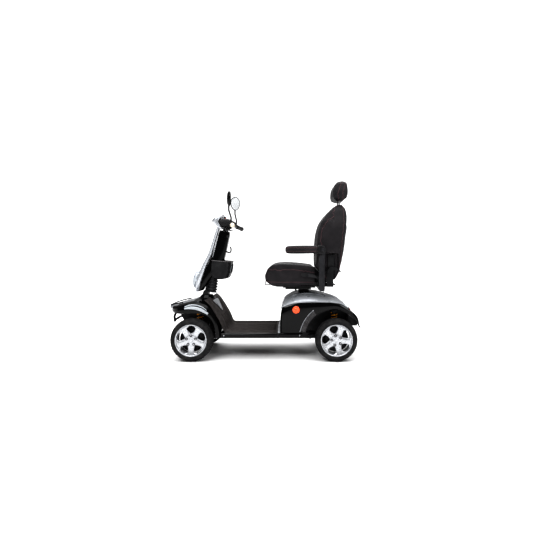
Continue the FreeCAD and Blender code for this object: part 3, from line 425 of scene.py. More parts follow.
def tyre(end, side, x, y_sign):
    """A ribbed tyre: grooves round the tread, and blocks cut across its shoulders."""
    blocks, steps = 40, 160
    half_profile = tyre_profile(0.004)
    rings = []
    for n, (cos, sin) in enumerate(circle(steps)):
        cut = 0.0045 if (n * blocks // steps) != ((n + 1) * blocks // steps) else 0.0
        ring = []
        for sign in (1, -1):
            half = half_profile if sign == 1 else list(reversed(half_profile[1:]))
            for radius, y in half:
                shoulder = HALF_TYRE * 0.58 < y < HALF_TYRE * 0.97 and radius > TYRE_RADIUS - 0.024
                out = radius - (cut if shoulder else 0.0)
                ring.append((out * cos, sign * y, out * sin))
        rings.append(ring)
    skin = moved(sections(rings + [rings[0]], caps=False), x, y_sign * WHEEL_Y, TYRE_RADIUS)
    node = f"tyre_{end}_{side}"
    obj = mesh_piece(f"{node}_look", skin, TYRE_RUBBER)
    modify(obj, "BEVEL", width=0.0008, segments=1, limit_method="ANGLE", angle_limit=0.7)
    place_piece(obj, f"wheel_{end}_{side}", [node])


def rim_barrel(half):
    """The lip and barrel of the rim as a closed section of (radius, y)."""
    section = ((-0.0005, half - 0.013), (0.002, half - 0.010), (0.002, half - 0.007),
               (-0.003, half - 0.006), (-0.007, half - 0.010), (-0.010, half - 0.024), (-0.011, 0.0),
               (-0.010, -half + 0.016), (-0.004, -half + 0.012), (-0.0008, -half + 0.014),
               (-0.0008, 0.0))
    return [(RIM_RADIUS + out, y) for out, y in section]


def spoke(angle, half):
    """One tapered alloy spoke with a raised spine, from the hub to the rim's lip."""
    rings = []
    for r, wide, front, deep in ((0.024, 0.030, 0.022, 0.026), (0.046, 0.0255, 0.0205, 0.022),
                                 (0.070, 0.0215, 0.019, 0.018), (0.092, 0.0235, 0.0165, 0.016),
                                 (0.104, 0.035, 0.0145, 0.015), (0.1135, 0.052, 0.012, 0.014)):
        section = []
        for across, out in ((-1.0, -0.003), (-0.72, 0.0), (-0.25, 0.0015), (0.25, 0.0015), (0.72, 0.0),
                            (1.0, -0.003), (1.0, -deep), (-1.0, -deep)):
            s = across * wide
            bend = r if wide < 0.03 or r < 0.05 else math.sqrt(max(r * r - s * s, 0.0001))
            x = bend * math.cos(angle) - s * math.sin(angle)
            z = bend * math.sin(angle) + s * math.cos(angle)
            section.append((x, half - front + out, z))
        rings.append(section)
    return sections(rings)


def merged(name, parts, material):
    points, faces = [], []
    for more_points, more_faces in parts:
        start = len(points)
        points += more_points
        faces += [tuple(start + n for n in face) for face in more_faces]
    return mesh_piece(name, (points, faces), material)


def disc(radius, low, high, x=0.0, z=0.0, steps=24, dome=0.0):
    """A round boss about Y, with a slightly domed face."""
    profile = ((radius, low), (radius, high - dome), (radius * 0.8, high), (radius * 0.02, high))
    return sections([[(x + r * cos, y, z + r * sin) for cos, sin in circle(steps)] for r, y in profile])


def moved(part, x, y, z, y_sign=1):
    points, faces = part
    return [(x + px, y + y_sign * py, z + pz) for px, py, pz in points], faces


def rim(end, side, x, y_sign):
    """A five-spoke alloy rim with a hub cap and wheel bolts, each bolt ringed by a dark disc of painted
    shade.
    """
    half, lean = HALF_TYRE, math.radians(126 if end == "front" else 112)
    parts = [turned(rim_barrel(half), 96)]
    parts += [spoke(lean + 2 * math.pi * n / SPOKES, half) for n in range(SPOKES)]
    parts.append(disc(0.051, half - 0.062, half - 0.0175, dome=0.003, steps=48))
    parts.append(disc(0.018, half - 0.020, half - 0.009, dome=0.003))
    base = [moved(part, x, y_sign * WHEEL_Y, TYRE_RADIUS, y_sign) for part in parts]
    node = f"rim_{end}_{side}"
    obj = merged(f"{node}_look", base, ALLOY)
    modify(obj, "BEVEL", width=0.0014, segments=2, limit_method="ANGLE", angle_limit=0.6)
    bolts, shade_rings, bolt_circle = [], [], 0.037
    for n in range(SPOKES):
        angle = lean + 2 * math.pi * (n + 0.5) / SPOKES
        spot = (bolt_circle * math.cos(angle), bolt_circle * math.sin(angle))
        place = (x, y_sign * WHEEL_Y, TYRE_RADIUS, y_sign)
        bolts.append(moved(disc(0.0046, half - 0.030, half - 0.0145, *spot, 6), *place))
        # Dark discs round the bolts: painted shade for the bolt recesses in the hub.
        shade_rings.append(moved(disc(0.0108, half - 0.030, half - 0.0162, *spot), *place))
    bolt_piece = merged(f"bolts_{end}_{side}", bolts, STEEL)
    place_piece(merged(f"bolt_pockets_{end}_{side}", shade_rings, FRAME_PAINT), f"wheel_{end}_{side}")
    place_piece(obj, f"wheel_{end}_{side}", [node])
    place_piece(bolt_piece, f"wheel_{end}_{side}")


def wheel_shade_disc(end, side, x, y_sign):
    """A dark disc behind the spokes: painted shade for the wheel's hollow, as seen through the windows."""
    back = disc(0.098, -0.020, -0.004, steps=64, dome=0.004)
    obj = merged(f"drum_{end}_{side}", [moved(back, x, y_sign * WHEEL_Y, TYRE_RADIUS, y_sign)],
                 FRAME_PAINT)
    place_piece(obj, f"wheel_{end}_{side}")


for wheel in WHEELS:
    tyre(*wheel)
    rim(*wheel)
    wheel_shade_disc(*wheel)


# ---------------------------------------------------------------- body shells

def ribbon(name, stations, material):
    """A shell over the whole width: each station is its left half, from edge to centre line."""
    rings = []
    for half in stations:
        ring = [Vector(point) for point in half]
        other = [Vector((p.x, -p.y, p.z)) for p in reversed(ring[:-1])]
        rings.append(ring + other)
    return mesh_piece(name, open_skin(rings), material)


def station(top, arch, half, crown, shoulder=0.034):
    """From the wheel-arch edge up the side wall, over the shoulder to the centre line."""
    top_x, top_z = top
    arch_x, arch_z = arch
    length = math.hypot(top_x - arch_x, top_z - arch_z)
    drop = min(shoulder, length * 0.4) / max(length, 0.001)

    def between(t, y, lift=0.0):
        return (arch_x + (top_x - arch_x) * t, y, arch_z + (top_z - arch_z) * t + lift)

    return [between(0.0, half - 0.010), between(0.03, half - 0.001), between(0.35, half),
            between(1 - 2 * drop, half), between(1 - drop * 0.8, half - 0.005),
            between(1 - drop * 0.2, half - 0.020), between(1.0, half - 0.048, crown * 0.25),
            between(1.0, half * 0.62, crown * 0.7), between(1.0, half * 0.3, crown * 0.95),
            between(1.0, 0.0, crown)]


def front_cowl():
    """The front fairing: from the leg shield's edge over the wheels to the pointed nose."""
    half = BODY_HALF
    rows = [
        # outer profile, wheel-arch edge, half width, crown
        ((0.303, 0.180), (0.350, 0.179), half, 0.000),
        ((0.309, 0.235), (0.351, 0.232), half, 0.000),
        ((0.326, 0.295), (0.362, 0.284), half, 0.001),
        ((0.350, 0.350), (0.386, 0.326), half, 0.002),
        ((0.382, 0.404), (0.420, 0.352), half, 0.003),
        ((0.425, 0.441), (0.462, 0.362), half, 0.006),
        ((0.480, 0.455), (0.505, 0.366), half, 0.006),
        ((0.545, 0.450), (0.555, 0.365), half - 0.002, 0.006),
        ((0.610, 0.434), (0.612, 0.361), half - 0.010, 0.006),
        ((0.668, 0.418), (0.662, 0.358), half - 0.034, 0.005),
        ((0.712, 0.408), (0.698, 0.362), half - 0.075, 0.004),
        ((0.745, 0.401), (0.728, 0.374), half - 0.128, 0.002),
        ((0.766, 0.397), (0.756, 0.387), half - 0.188, 0.001),
    ]
    cowl = ribbon("front_cowl_look", [station(*row) for row in rows], GLOSS_BLACK)
    cowl.data.materials.append(PEARL)
    for polygon in cowl.data.polygons:
        middle = polygon.center
        polygon.material_index = 1 if middle.x > 0.53 and abs(middle.y) < 0.17 else 0
    cut_hole(cowl, STEERING_X, 0.056)
    shell(cowl, 0.0035)
    place_piece(cowl, "chassis", ["front_cowl"])
    nose = [(0.640, 0.135, 0.436), (0.712, 0.118, 0.420), (0.757, 0.070, 0.406), (0.7645, 0.0, 0.403)]
    nose += [(x, -y, z) for x, y, z in reversed(nose[:-1])]
    place_piece(tube("nose_trim", nose, 0.0048, BLACK_PLASTIC), "chassis")


def well_shade_walls():
    """Dark walls inside the wheel wells, between the wheels and the frame: they close the wells, and their
    black is painted shade for the hollows behind the wheels.
    """
    wells = (("front", 0.070, [(0.395, 0.262), (0.640, 0.262), (0.676, 0.330), (0.668, 0.392),
                               (0.410, 0.392)]),
             ("rear", 0.094, [(-0.358, 0.200), (-0.470, 0.200), (-0.490, 0.262), (-0.690, 0.262),
                              (-0.690, 0.398), (-0.358, 0.398)]),
             ("tail", 0.183, [(-0.690, 0.340), (-0.752, 0.340), (-0.766, 0.300), (-0.766, 0.256),
                              (-0.690, 0.256)]))
    for end, depth, outline in wells:
        for side, sign in SIDES:
            wall = plate(f"{end}_liner_{side}", outline, sign * depth, sign * (depth + 0.003),
                         BLACK_PLASTIC)
            place_piece(rounded(wall, 0.001, 2), "chassis")


def cut_hole(obj, centre_x, radius):
    """Deletes the faces of a thin skin that lie inside an upright round hole on the centre line."""

    def gap(place):
        return math.dist((place.x, place.y), (centre_x, 0))

    edit = bmesh.new()
    edit.from_mesh(obj.data)
    close = [e for e in edit.edges if gap((e.verts[0].co + e.verts[1].co) / 2) < radius * 2]
    bmesh.ops.subdivide_edges(edit, edges=close, cuts=2, use_grid_fill=True)
    gone = [f for f in edit.faces if gap(f.calc_center_median()) < radius]
    bmesh.ops.delete(edit, geom=gone, context="FACES")
    edit.to_mesh(obj.data)
    edit.free()


def fender_lenses():
    """Long curved lamp lenses on both front fenders: a thin upper sliver over a wide band."""
    upper = [(0.588, 0.424), (0.545, 0.437), (0.498, 0.436), (0.452, 0.421), (0.418, 0.396)]
    band_top = [(0.592, 0.411), (0.548, 0.422), (0.500, 0.420), (0.452, 0.405), (0.404, 0.371)]
    band_low = [(0.590, 0.400), (0.548, 0.401), (0.502, 0.396), (0.456, 0.380), (0.409, 0.357)]
    made = []
    for name, top, low in (("lens_upper", upper, [(x - 0.001, z - 0.008) for x, z in upper]),
                           ("lens_band", band_top, band_low)):
        rings = []
        for high, down in zip(spline([(x, 0, z) for x, z in top], 5),
                              spline([(x, 0, z) for x, z in low], 5)):
            middle = (high + down) / 2
            face = BODY_HALF + 0.0042
            back = BODY_HALF - 0.004
            rings.append([(high.x, back, high.z), (high.x, face - 0.002, high.z),
                          ((high.x + middle.x) / 2, face, (high.z + middle.z) / 2),
                          ((down.x + middle.x) / 2, face, (down.z + middle.z) / 2),
                          (down.x, face - 0.002, down.z), (down.x, back, down.z)])
        left = rounded(mesh_piece(f"{name}_left", sections(rings), CLEAR_LENS), 0.001, 2)
        made += [left, mirror_y(left, f"{name}_right")]
    for number, piece in enumerate(made):
        place_piece(piece, "chassis", ["front_light_lenses"] if number == 0 else ())


def side_panel():
    """The gloss rear side panel, from the battery cover round the wheel arch to the tail."""
    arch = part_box("rear_mudguards")[1][2] - TYRE_RADIUS + 0.002
    outer = [(-0.153, 0.217), (-0.152, 0.290), (-0.155, 0.360), (-0.168, 0.412), (-0.215, 0.441),
             (-0.290, 0.456), (-0.380, 0.462), (-0.480, 0.462), (-0.570, 0.455), (-0.635, 0.442),
             (-0.684, 0.404), (-0.724, 0.374), (-0.756, 0.343), (-0.771, 0.300), (-0.772, 0.252)]
    starts = [-0.325, -0.330, -0.335, -0.342, -0.352, -0.366, -0.388, -0.430, -0.500, -0.590,
              -0.650, -0.680, -0.706, -0.726, -0.7420]
    rings = [panel_ring(Vector((arch_x, 0, arch_edge(arch_x, arch))), Vector((x, 0, z)))
             for (x, z), arch_x in zip(outer, starts)]
    left = mesh_piece("side_panel_left", open_skin(rings), GLOSS_BLACK)
    shell(left, 0.0035)
    for number, piece in enumerate((left, mirror_y(left, "side_panel_right"), battery_front())):
        place_piece(piece, "chassis", ["side_panels"] if number == 0 else ())


def panel_ring(inner, edge):
    """One line of the side panel, from the wheel arch or the sill up over its soft outer edge."""
    way = edge - inner
    back = way.normalized() * min(0.05, way.length * 0.3)
    ring = [(inner + way * share, inset)
            for share, inset in ((0.0, 0.012), (0.02, 0.003), (0.12, 0.001), (0.5, 0.0))]
    ring += [(edge - back * share, inset) for share, inset in ((1.0, 0.001), (0.35, 0.006), (0.0, 0.018))]
    return [(point.x, BODY_HALF - inset, point.z) for point, inset in ring]


def arch_edge(x, radius):
    """The height of the side panel's lower edge, along the sill and round the wheel arch."""
    sill, lip, step_start, step_length = 0.217, 0.331, -0.345, 0.043
    if x > -0.40:
        return sill + (lip - sill) * max(0.0, (step_start - x) / step_length)
    reach = x - REAR_AXLE_X
    near = arch_radius(reach, radius)
    if abs(reach) < near:
        return max(TYRE_RADIUS + math.sqrt(near ** 2 - reach ** 2), sill)
    return sill


def arch_radius(reach, radius):
    """The rear wheel arch draws in a little behind the axle."""
    return radius - 0.026 * min(1.0, max(0.0, -reach / 0.12))


def battery_front():
    """The panel across the rear end of the deck; the pale kick strip below it is laid by deck_strip."""
    rings = []
    for z, out in ((0.2152, 0.0), (0.28, 0.001), (0.35, 0.0), (0.395, -0.006), (0.412, -0.016)):
        half = BODY_HALF - 0.006
        rings.append([(-0.156 + out, half, z), (-0.154 + out, half - 0.02, z), (-0.1535 + out, 0.1, z),
                      (-0.1535 + out, -0.1, z), (-0.154 + out, -half + 0.02, z),
                      (-0.156 + out, -half, z)])
    return shell(mesh_piece("battery_cover_front", open_skin(rings), GLOSS_BLACK), 0.003, 1)


def rear_cover():
    """The silver domed cover over the batteries, with painted shade in blue-grey along its raised middle.
    """
    rows = [
        # x, side height, crown height, half width
        (-0.160, 0.409, 0.418, 0.246), (-0.172, 0.424, 0.446, 0.254), (-0.205, 0.442, 0.474, 0.258),
        (-0.255, 0.454, 0.502, 0.260), (-0.320, 0.461, 0.518, 0.261), (-0.385, 0.464, 0.521, 0.261),
        (-0.455, 0.464, 0.510, 0.261), (-0.530, 0.460, 0.490, 0.260), (-0.600, 0.450, 0.468, 0.258),
        (-0.655, 0.436, 0.446, 0.252), (-0.686, 0.410, 0.414, 0.246),
    ]
    rings = []
    for x, side, crown, half in rows:
        rise = crown - side
        ring = [(x, half + 0.002, side - 0.010), (x, half, side)]
        for share, up in ((0.95, 0.22), (0.86, 0.48), (0.72, 0.66), (0.58, 0.76), (0.545, 0.90),
                          (0.42, 0.97), (0.22, 1.0), (0.0, 1.0)):
            ring.append((x, half * share, side + rise * up))
        rings.append(ring)
    cover = ribbon("rear_cover_look", rings, SILVER)
    cover.data.materials.append(PEARL)
    cover.data.materials.append(BLUE_GREY_AND_SHADE)
    # Outer bands pearl silver; the raised middle forward of x = -0.62 is blue-grey, a painted shade.
    for polygon in cover.data.polygons:
        middle = polygon.center
        if abs(middle.y) > 0.150:
            polygon.material_index = 1
        elif abs(middle.y) < 0.1365:
            polygon.material_index = 2 if middle.x > -0.62 else 0
    cut_hole(cover, SEAT_POST_X, 0.038)
    shell(cover, 0.003)
    place_piece(cover, "chassis", ["rear_cover"])
    collar = [(SEAT_POST_X + 0.040 * cos, 0.040 * sin, 0.519) for cos, sin in circle(40)]
    gaiter = tube("post_gaiter", collar, 0.007, SOFT_RUBBER, closed=True, steps=1)
    place_piece(gaiter, "chassis")


def mudguards():
    """Arched black guards inside the rear wheel arches, and the wall between them."""
    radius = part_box("rear_mudguards")[1][2] - TYRE_RADIUS
    rings = []
    for n in range(21):
        angle = math.radians(24 + (150 - 24) * n / 20)
        near = arch_radius(-radius * math.cos(angle), radius)
        out, lip = near - 0.001, near - 0.005
        x, z = REAR_AXLE_X - out * math.cos(angle), TYRE_RADIUS + out * math.sin(angle)
        lip_x, lip_z = REAR_AXLE_X - lip * math.cos(angle), TYRE_RADIUS + lip * math.sin(angle)
        rings.append([(lip_x, 0.187, lip_z), (x, 0.189, z), (x, 0.215, z), (x, 0.245, z),
                      (x, BODY_HALF - 0.008, z), (x, BODY_HALF - 0.0045, z)])
    left = shell(mesh_piece("mudguard_left", open_skin(rings), BLACK_PLASTIC), 0.003, 1)
    right = mirror_y(left, "mudguard_right")
    wall = plate("tail_wall", [(-0.700, 0.255), (-0.700, 0.40), (-0.694, 0.40), (-0.694, 0.255)],
                 -0.187, 0.187, BLACK_PLASTIC)
    rounded(wall, 0.002)
    slats = []
    for n in range(6):
        z = 0.275 + 0.020 * n
        slat = plate(f"tail_slat_{n}", [(-0.706, z), (-0.703, z + 0.010), (-0.6995, z + 0.010),
                                       (-0.6995, z)], -0.15, 0.15, BLACK_PLASTIC)
        slats.append(rounded(slat, 0.0015))
    for number, piece in enumerate([left, right, wall] + slats):
        place_piece(piece, "chassis", ["rear_mudguards"] if number == 0 else ())


VENT_INNER, VENT_OUTER = 0.243, 0.288


def on_arch(radius, angle):
    """The (x, z) point at a radius and an angle about the rear axle."""
    return REAR_AXLE_X + radius * math.cos(angle), TYRE_RADIUS + radius * math.sin(angle)


def arch_vents():
    """Grey curved vent trims with fine ribs, along the front edge of each rear wheel arch."""
    pieces, ribs = [], []
    for _, sign in SIDES:
        rings = []
        for n in range(17):
            angle = math.radians(12 + 41 * n / 16)
            face, back = sign * (BODY_HALF + 0.002), sign * (BODY_HALF - 0.003)
            (near_x, near_z), (far_x, far_z) = on_arch(VENT_INNER, angle), on_arch(VENT_OUTER, angle)
            rings.append([(near_x, back, near_z), (near_x, face, near_z), (far_x, face, far_z),
                          (far_x, back, far_z)])
        strip = mesh_piece(f"vent_strip_{sign}", sections(rings), BLACK_PLASTIC)
        edge = [Vector(ring[2]) + Vector((0, sign * 0.0006, 0)) for ring in rings]
        pieces += [rounded(strip, 0.001, 2), tube(f"vent_edge_{sign}", edge, 0.0016, SILVER, steps=1)]
        parts = [vent_rib(math.radians(14.5 + 36 * n / 21), sign) for n in range(22)]
        ribs.append(merged(f"vent_ribs_{sign}", parts, MID_GREY))
    for piece in pieces + ribs:
        place_piece(piece, "chassis")


def vent_rib(angle, sign, turn=0.006, margin=0.005):
    """One narrow rib across the vent trim."""
    near, far = VENT_INNER + margin, VENT_OUTER - margin
    corners = [on_arch(reach, angle + side) for reach, side in
               ((near, -turn), (far, -turn), (far, turn), (near, turn))]
    return sections([[(x, sign * (BODY_HALF + y), z) for x, z in corners] for y in (0.001, 0.0034)])


def side_reflectors():
    """Round orange indicators with a stepped bezel and a small emblem-free centre."""
    for side, sign in SIDES:
        base = BODY_HALF + 0.0005
        x, z = -0.277, 0.396
        rings = []
        for r, y in ((0.0285, -0.003), (0.0285, 0.003), (0.026, 0.0055), (0.019, 0.0058),
                     (0.018, 0.0045), (0.011, 0.0045), (0.010, 0.0060), (0.0006, 0.0064)):
            rings.append([(x + r * cos, sign * (base + y), z + r * sin) for cos, sin in circle(36)])
        obj = mesh_piece(f"indicator_{side}", sections(rings), AMBER_LENS)
        place_piece(obj, "chassis", ["side_indicators"] if sign == 1 else ())


SUSPENSION = (
    # end, axle's body, joint, share of the length left at the joint's limit
    ("front", "front_axle", "front_suspension", 0.935),
    ("rear", "rear_axle", "rear_suspension", 0.905),
)


def springs():
    """Coil springs on the chassis, over dampers that slide into themselves."""
    coil, wire, turns = 0.022, 0.0045, 7
    for end, axle, joint, keep in SUSPENSION:
        low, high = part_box(f"{end}_springs")
        x, reach = (low[0] + high[0]) / 2, high[1] - coil - wire
        bottom, top = low[2], high[2]
        for side, y in (("left", reach), ("right", -reach)):
            route = []
            for n in range(turns * 16 + 1):
                angle, share = 2 * math.pi * n / 16, n / (turns * 16)
                height = bottom + wire + (top - bottom - 2 * wire) * share
                route.append((x + coil * math.cos(angle), y + coil * math.sin(angle), height))
            spring = tube(f"{end}_spring_{side}", route, wire, SPRING_PAINT, steps=1, resolution=3)
            place_piece(spring, "chassis", [f"{end}_springs"] if side == "left" else ())
            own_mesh(spring)
            middle = (bottom + top) / 2
            tube_wall = pipe(x, y, 0.0168, 0.0157, middle, top - 0.001)
            damper = mesh_piece(f"{end}_damper_{side}", tube_wall, FRAME_PAINT, smooth=False)
            place_piece(rounded(damper, 0.0008, 2), "chassis")
            rod_wall = pipe(x, y, 0.0038, 0.0020, bottom, middle + 0.020)
            rod = mesh_piece(f"{end}_damper_rod_{side}", rod_wall, STEEL, smooth=False)
            place_piece(rounded(rod, 0.0008, 2), axle)


def pipe(x, y, outer, inner, start, stop):
    """The skin of an upright pipe."""
    wall = ((inner, start), (outer, start), (outer, stop), (inner, stop), (inner, start))
    return sections([[(x + r * cos, y + r * sin, z) for cos, sin in circle(32)] for r, z in wall],
                    caps=False)


front_cowl()
well_shade_walls()
springs()
fender_lenses()
side_panel()
rear_cover()
mudguards()
arch_vents()
side_reflectors()


# ---------------------------------------------------------------- tiller

def cross_loft(name, rows, material, corner=0.35, body="tiller"):
    """A closed loft of rounded boxes: each row is (front x, rear x, z of each, half width)."""
    rings = []
    for front, rear, half in rows:
        (fx, fz), (rx, rz) = front, rear
        ring = []
        for t, y in ((0.0, 0.0), (0.0, 0.6), (0.03, 0.88), (corner, 1.0), (1 - corner, 1.0),
                     (0.97, 0.88), (1.0, 0.6), (1.0, 0.0)):
            ring.append((fx + (rx - fx) * t, half * y, fz + (rz - fz) * t))
        back = [(x, -y, z) for x, y, z in reversed(ring[1:-1])]
        rings.append(ring + back)
    obj = mesh_piece(name, sections(held(rings)), material)
    modify(obj, "SUBSURF", levels=2, render_levels=2)
    return place_piece(obj, body)


def held(rings):
    """Adds a ring close to each end, so that smoothing leaves the ends where they are."""
    first = [Vector(a).lerp(Vector(b), 0.05) for a, b in zip(rings[0], rings[1])]
    last = [Vector(a).lerp(Vector(b), 0.05) for a, b in zip(rings[-1], rings[-2])]
    return [rings[0], first] + rings[1:-1] + [last, rings[-1]]


def tiller_shroud():
    """The gloss rear half of the tiller, waisted above the storage box."""
    rows = [
        ((0.538, 0.512), (0.500, 0.522), 0.040), ((0.528, 0.560), (0.474, 0.567), 0.045),
        ((0.516, 0.608), (0.448, 0.614), 0.046), ((0.502, 0.650), (0.405, 0.656), 0.046),
        ((0.484, 0.694), (0.352, 0.690), 0.046),
        ((0.428, 0.804), (0.318, 0.800), 0.043), ((0.398, 0.905), (0.298, 0.895), 0.040),
        ((0.372, 1.000), (0.281, 0.985), 0.038), ((0.360, 1.028), (0.283, 1.014), 0.034),
    ]
    shroud = cross_loft("tiller_shroud_look", rows, GLOSS_BLACK)
    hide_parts("tiller_shroud")
    hook = tube("bag_hook_look", [(0.312, 0, 0.850), (0.292, 0, 0.838), (0.276, 0, 0.842),
                                  (0.270, 0, 0.862), (0.276, 0, 0.888)], 0.0052, BLACK_PLASTIC)
    place_piece(hook, "tiller")
    for side, sign in SIDES:
        line = [(x, sign * y, z) for x, y, z in ((0.372, 0.0425, 0.975), (0.388, 0.0440, 0.915),
                                                 (0.404, 0.0455, 0.850), (0.418, 0.0470, 0.800))]
        slash = tube(f"tiller_stripe_{side}", line, 0.0026, PEARL)
        place_piece(slash, "tiller")
    knob = merged("tiller_knob", [moved(disc(0.011, 0, 0.012, dome=0.002), 0.292, 0.034, 0.972)],
                  BLACK_PLASTIC)
    place_piece(knob, "tiller")


def tiller_fascia():
    """The silver front blade: narrow at the top, swelling round the lamp at the bottom."""
    rows = [
        # front edge, rear edge, half width
        ((0.560, 0.508), (0.530, 0.512), 0.036), ((0.566, 0.540), (0.526, 0.545), 0.050),
        ((0.560, 0.590), (0.518, 0.590), 0.056), ((0.544, 0.640), (0.500, 0.640), 0.058),
        ((0.522, 0.695), (0.484, 0.692), 0.056), ((0.497, 0.752), (0.462, 0.748), 0.052),
        ((0.461, 0.812), (0.431, 0.808), 0.045), ((0.436, 0.890), (0.412, 0.884), 0.040),
        ((0.412, 0.965), (0.390, 0.960), 0.038), ((0.390, 1.036), (0.369, 1.030), 0.040),
        ((0.381, 1.052), (0.362, 1.040), 0.042),
    ]
    blade = cross_loft("tiller_fascia_look", rows, PEARL)
    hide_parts("tiller_fascia")
    slot_points = []
    for z, y in ((1.015, 0.0), (0.985, 0.011), (0.900, 0.013), (0.830, 0.010), (0.805, 0.0),
                 (0.830, -0.010), (0.900, -0.013), (0.985, -0.011)):
        slot_points.append((y, z))
    rings = []
    for lift in (0.0, 0.0045):
        rings.append([(0.4005 + (0.985 - z) * 0.305 + lift + 0.0045, y, z) for y, z in slot_points])
    inlay = rounded(mesh_piece("fascia_inlay", sections(rings), GLOSS_BLACK), 0.001, 2)
    place_piece(inlay, "tiller")


def visor():
    """The winged upper cowl in front of the console."""
    rings = []
    for n in range(13):
        s = -1 + 2 * n / 12
        half, sweep, droop = 0.088 * s, 0.030 * s * s, 0.010 * s * s
        rings.append([(0.372 - sweep, half, 1.040 - droop), (0.412 - sweep, half, 1.074 - droop),
                      (0.434 - sweep, half, 1.105 - droop), (0.424 - sweep, half, 1.122 - droop * 0.6),
                      (0.392 - sweep * 0.8, half, 1.140), (0.356 - sweep * 0.5, half * 0.9, 1.153 - droop),
                      (0.350 - sweep * 0.5, half * 0.9, 1.147 - droop), (0.384 - sweep * 0.8, half, 1.130),
                      (0.404 - sweep, half, 1.104 - droop), (0.386 - sweep, half, 1.070 - droop),
                      (0.360 - sweep, half, 1.046 - droop)])
    wing = mesh_piece("visor_look", sections(held(rings)), PEARL)
    modify(wing, "SUBSURF", levels=1, render_levels=1)
    place_piece(wing, "tiller")


def headlamp():
    """A bulging lamp: silver bezel and clear lens."""
    rows = []
    for z, out, half in ((0.533, 0.561, 0.018), (0.545, 0.575, 0.034), (0.566, 0.5835, 0.043),
                         (0.592, 0.587, 0.047), (0.620, 0.5845, 0.047), (0.645, 0.577, 0.043),
                         (0.668, 0.562, 0.034), (0.684, 0.545, 0.020)):
        back = 0.566 - max(0.0, z - 0.55) * 0.32
        rows.append(((out, z), (min(back, out - 0.004), z), half))
    body = cross_loft("headlamp_look", rows, CLEAR_LENS, corner=0.5)
    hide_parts("headlamp")
    trim = [(0.5745, 0.0400, 0.600), (0.570, 0.037, 0.640), (0.558, 0.026, 0.668),
            (0.547, 0.0, 0.682), (0.558, -0.026, 0.668), (0.570, -0.037, 0.640),
            (0.5745, -0.0400, 0.600), (0.571, -0.037, 0.565), (0.563, -0.022, 0.541),
            (0.558, 0.0, 0.534), (0.563, 0.022, 0.541), (0.571, 0.037, 0.565)]
    bezel = tube("headlamp_bezel", trim, 0.0035, BLUE_GREY_AND_SHADE, closed=True, steps=4)
    place_piece(bezel, "tiller")


def console():
    """The dashboard pod under the bar, with a dark display."""
    rows = []
    for x, low, high, half in ((0.396, 1.085, 1.102, 0.070), (0.385, 1.062, 1.112, 0.080),
                               (0.345, 1.048, 1.124, 0.084), (0.300, 1.048, 1.122, 0.084),
                               (0.262, 1.052, 1.111, 0.082), (0.238, 1.066, 1.096, 0.074)):
        rows.append(((x, high), (x, low), half))
    pod = cross_loft("console_look", rows, BLACK_PLASTIC, corner=0.22)
    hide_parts("console_housing")
    screen = [[(0.300, 0.030, 1.1195), (0.262, 0.030, 1.1090), (0.262, -0.030, 1.1090),
               (0.300, -0.030, 1.1195)]]
    screen.append([(x + 0.0006, y, z + 0.004) for x, y, z in screen[0]])
    glass = rounded(mesh_piece("console_display", sections(screen), GLOSS_BLACK), 0.0012, 2)
    place_piece(glass, "tiller")


def console_keys():
    """Three small buttons on each side of the display."""
    for n in range(3):
        for side, sign in SIDES:
            key = [(x + 0.014 * n, sign * y, z + 0.0036 * n)
                   for x, y, z in ((0.268, 0.040, 1.1105), (0.278, 0.040, 1.1130),
                                   (0.278, 0.054, 1.1120), (0.268, 0.054, 1.1095))]
            skin = sections([key, [(x, y, z + 0.004) for x, y, z in key]])
            piece = rounded(mesh_piece(f"console_key_{n}_{side}", skin, GREY_PLASTIC), 0.001, 2)
            place_piece(piece, "tiller")


GRIP_INNER = Vector((0.2439, 0.170, 1.0644))
GRIP_OUTER = Vector((0.2160, 0.2791, 1.0528))


def round_rings(start, way, stations, steps=24):
    """Rings about an axis, one for each (distance along it, radius)."""
    out = way.orthogonal().normalized()
    other = way.cross(out)
    return [[tuple(start + way * reach + (out * cos + other * sin) * radius)
             for cos, sin in circle(steps)] for reach, radius in stations]


def grip_stations(length):
    """A grip's radius along its length: a flange at both ends and rings between them."""
    made = []
    for n in range(67):
        t = n / 66
        radius = 0.0178 - 0.0010 * math.sin(math.pi * t) - (0.0012 if n % 3 == 0 else 0.0)
        if n in (1, 2, 64, 65):
            radius = 0.0195
        made.append((length * t, radius))
    return made


def grips():
    """Ribbed rubber grips with pale translucent end caps."""
    for side, sign in SIDES:
        start = Vector((GRIP_INNER.x, sign * GRIP_INNER.y, GRIP_INNER.z))
        end = Vector((GRIP_OUTER.x, sign * GRIP_OUTER.y, GRIP_OUTER.z))
        way = (end - start).normalized()
        rings = round_rings(start, way, grip_stations((end - start).length))
        grip = mesh_piece(f"grip_{side}", sections(rings), SOFT_RUBBER)
        place_piece(grip, "tiller", ["handlebar_grips"] if sign == 1 else ())
        stations = [(0.0, 0.0170), (0.003, 0.0184), (0.008, 0.0170), (0.012, 0.0130), (0.014, 0.0070),
                    (0.0145, 0.0010)]
        cap = mesh_piece(f"grip_cap_{side}", sections(round_rings(end, way, stations)), CREAM)
        place_piece(cap, "tiller")


def bellows():
    """The ribbed rubber boot at the foot of the tiller."""
    folds, steps = 6, 8
    stations = []
    for n in range(folds * steps + 1):
        t = n / (folds * steps)
        stations.append((0.142 * t, 0.0365 - 0.003 * t + 0.0055 * math.cos(2 * math.pi * folds * t)))
    way = Vector((-0.13, 0, 0.99)).normalized()
    rings = round_rings(Vector((0.4305, 0, 0.505)), way, stations, 40)
    boot = mesh_piece("tiller_bellows_look", sections(rings), SOFT_RUBBER)
    place_piece(boot, "tiller", ["tiller_bellows"])


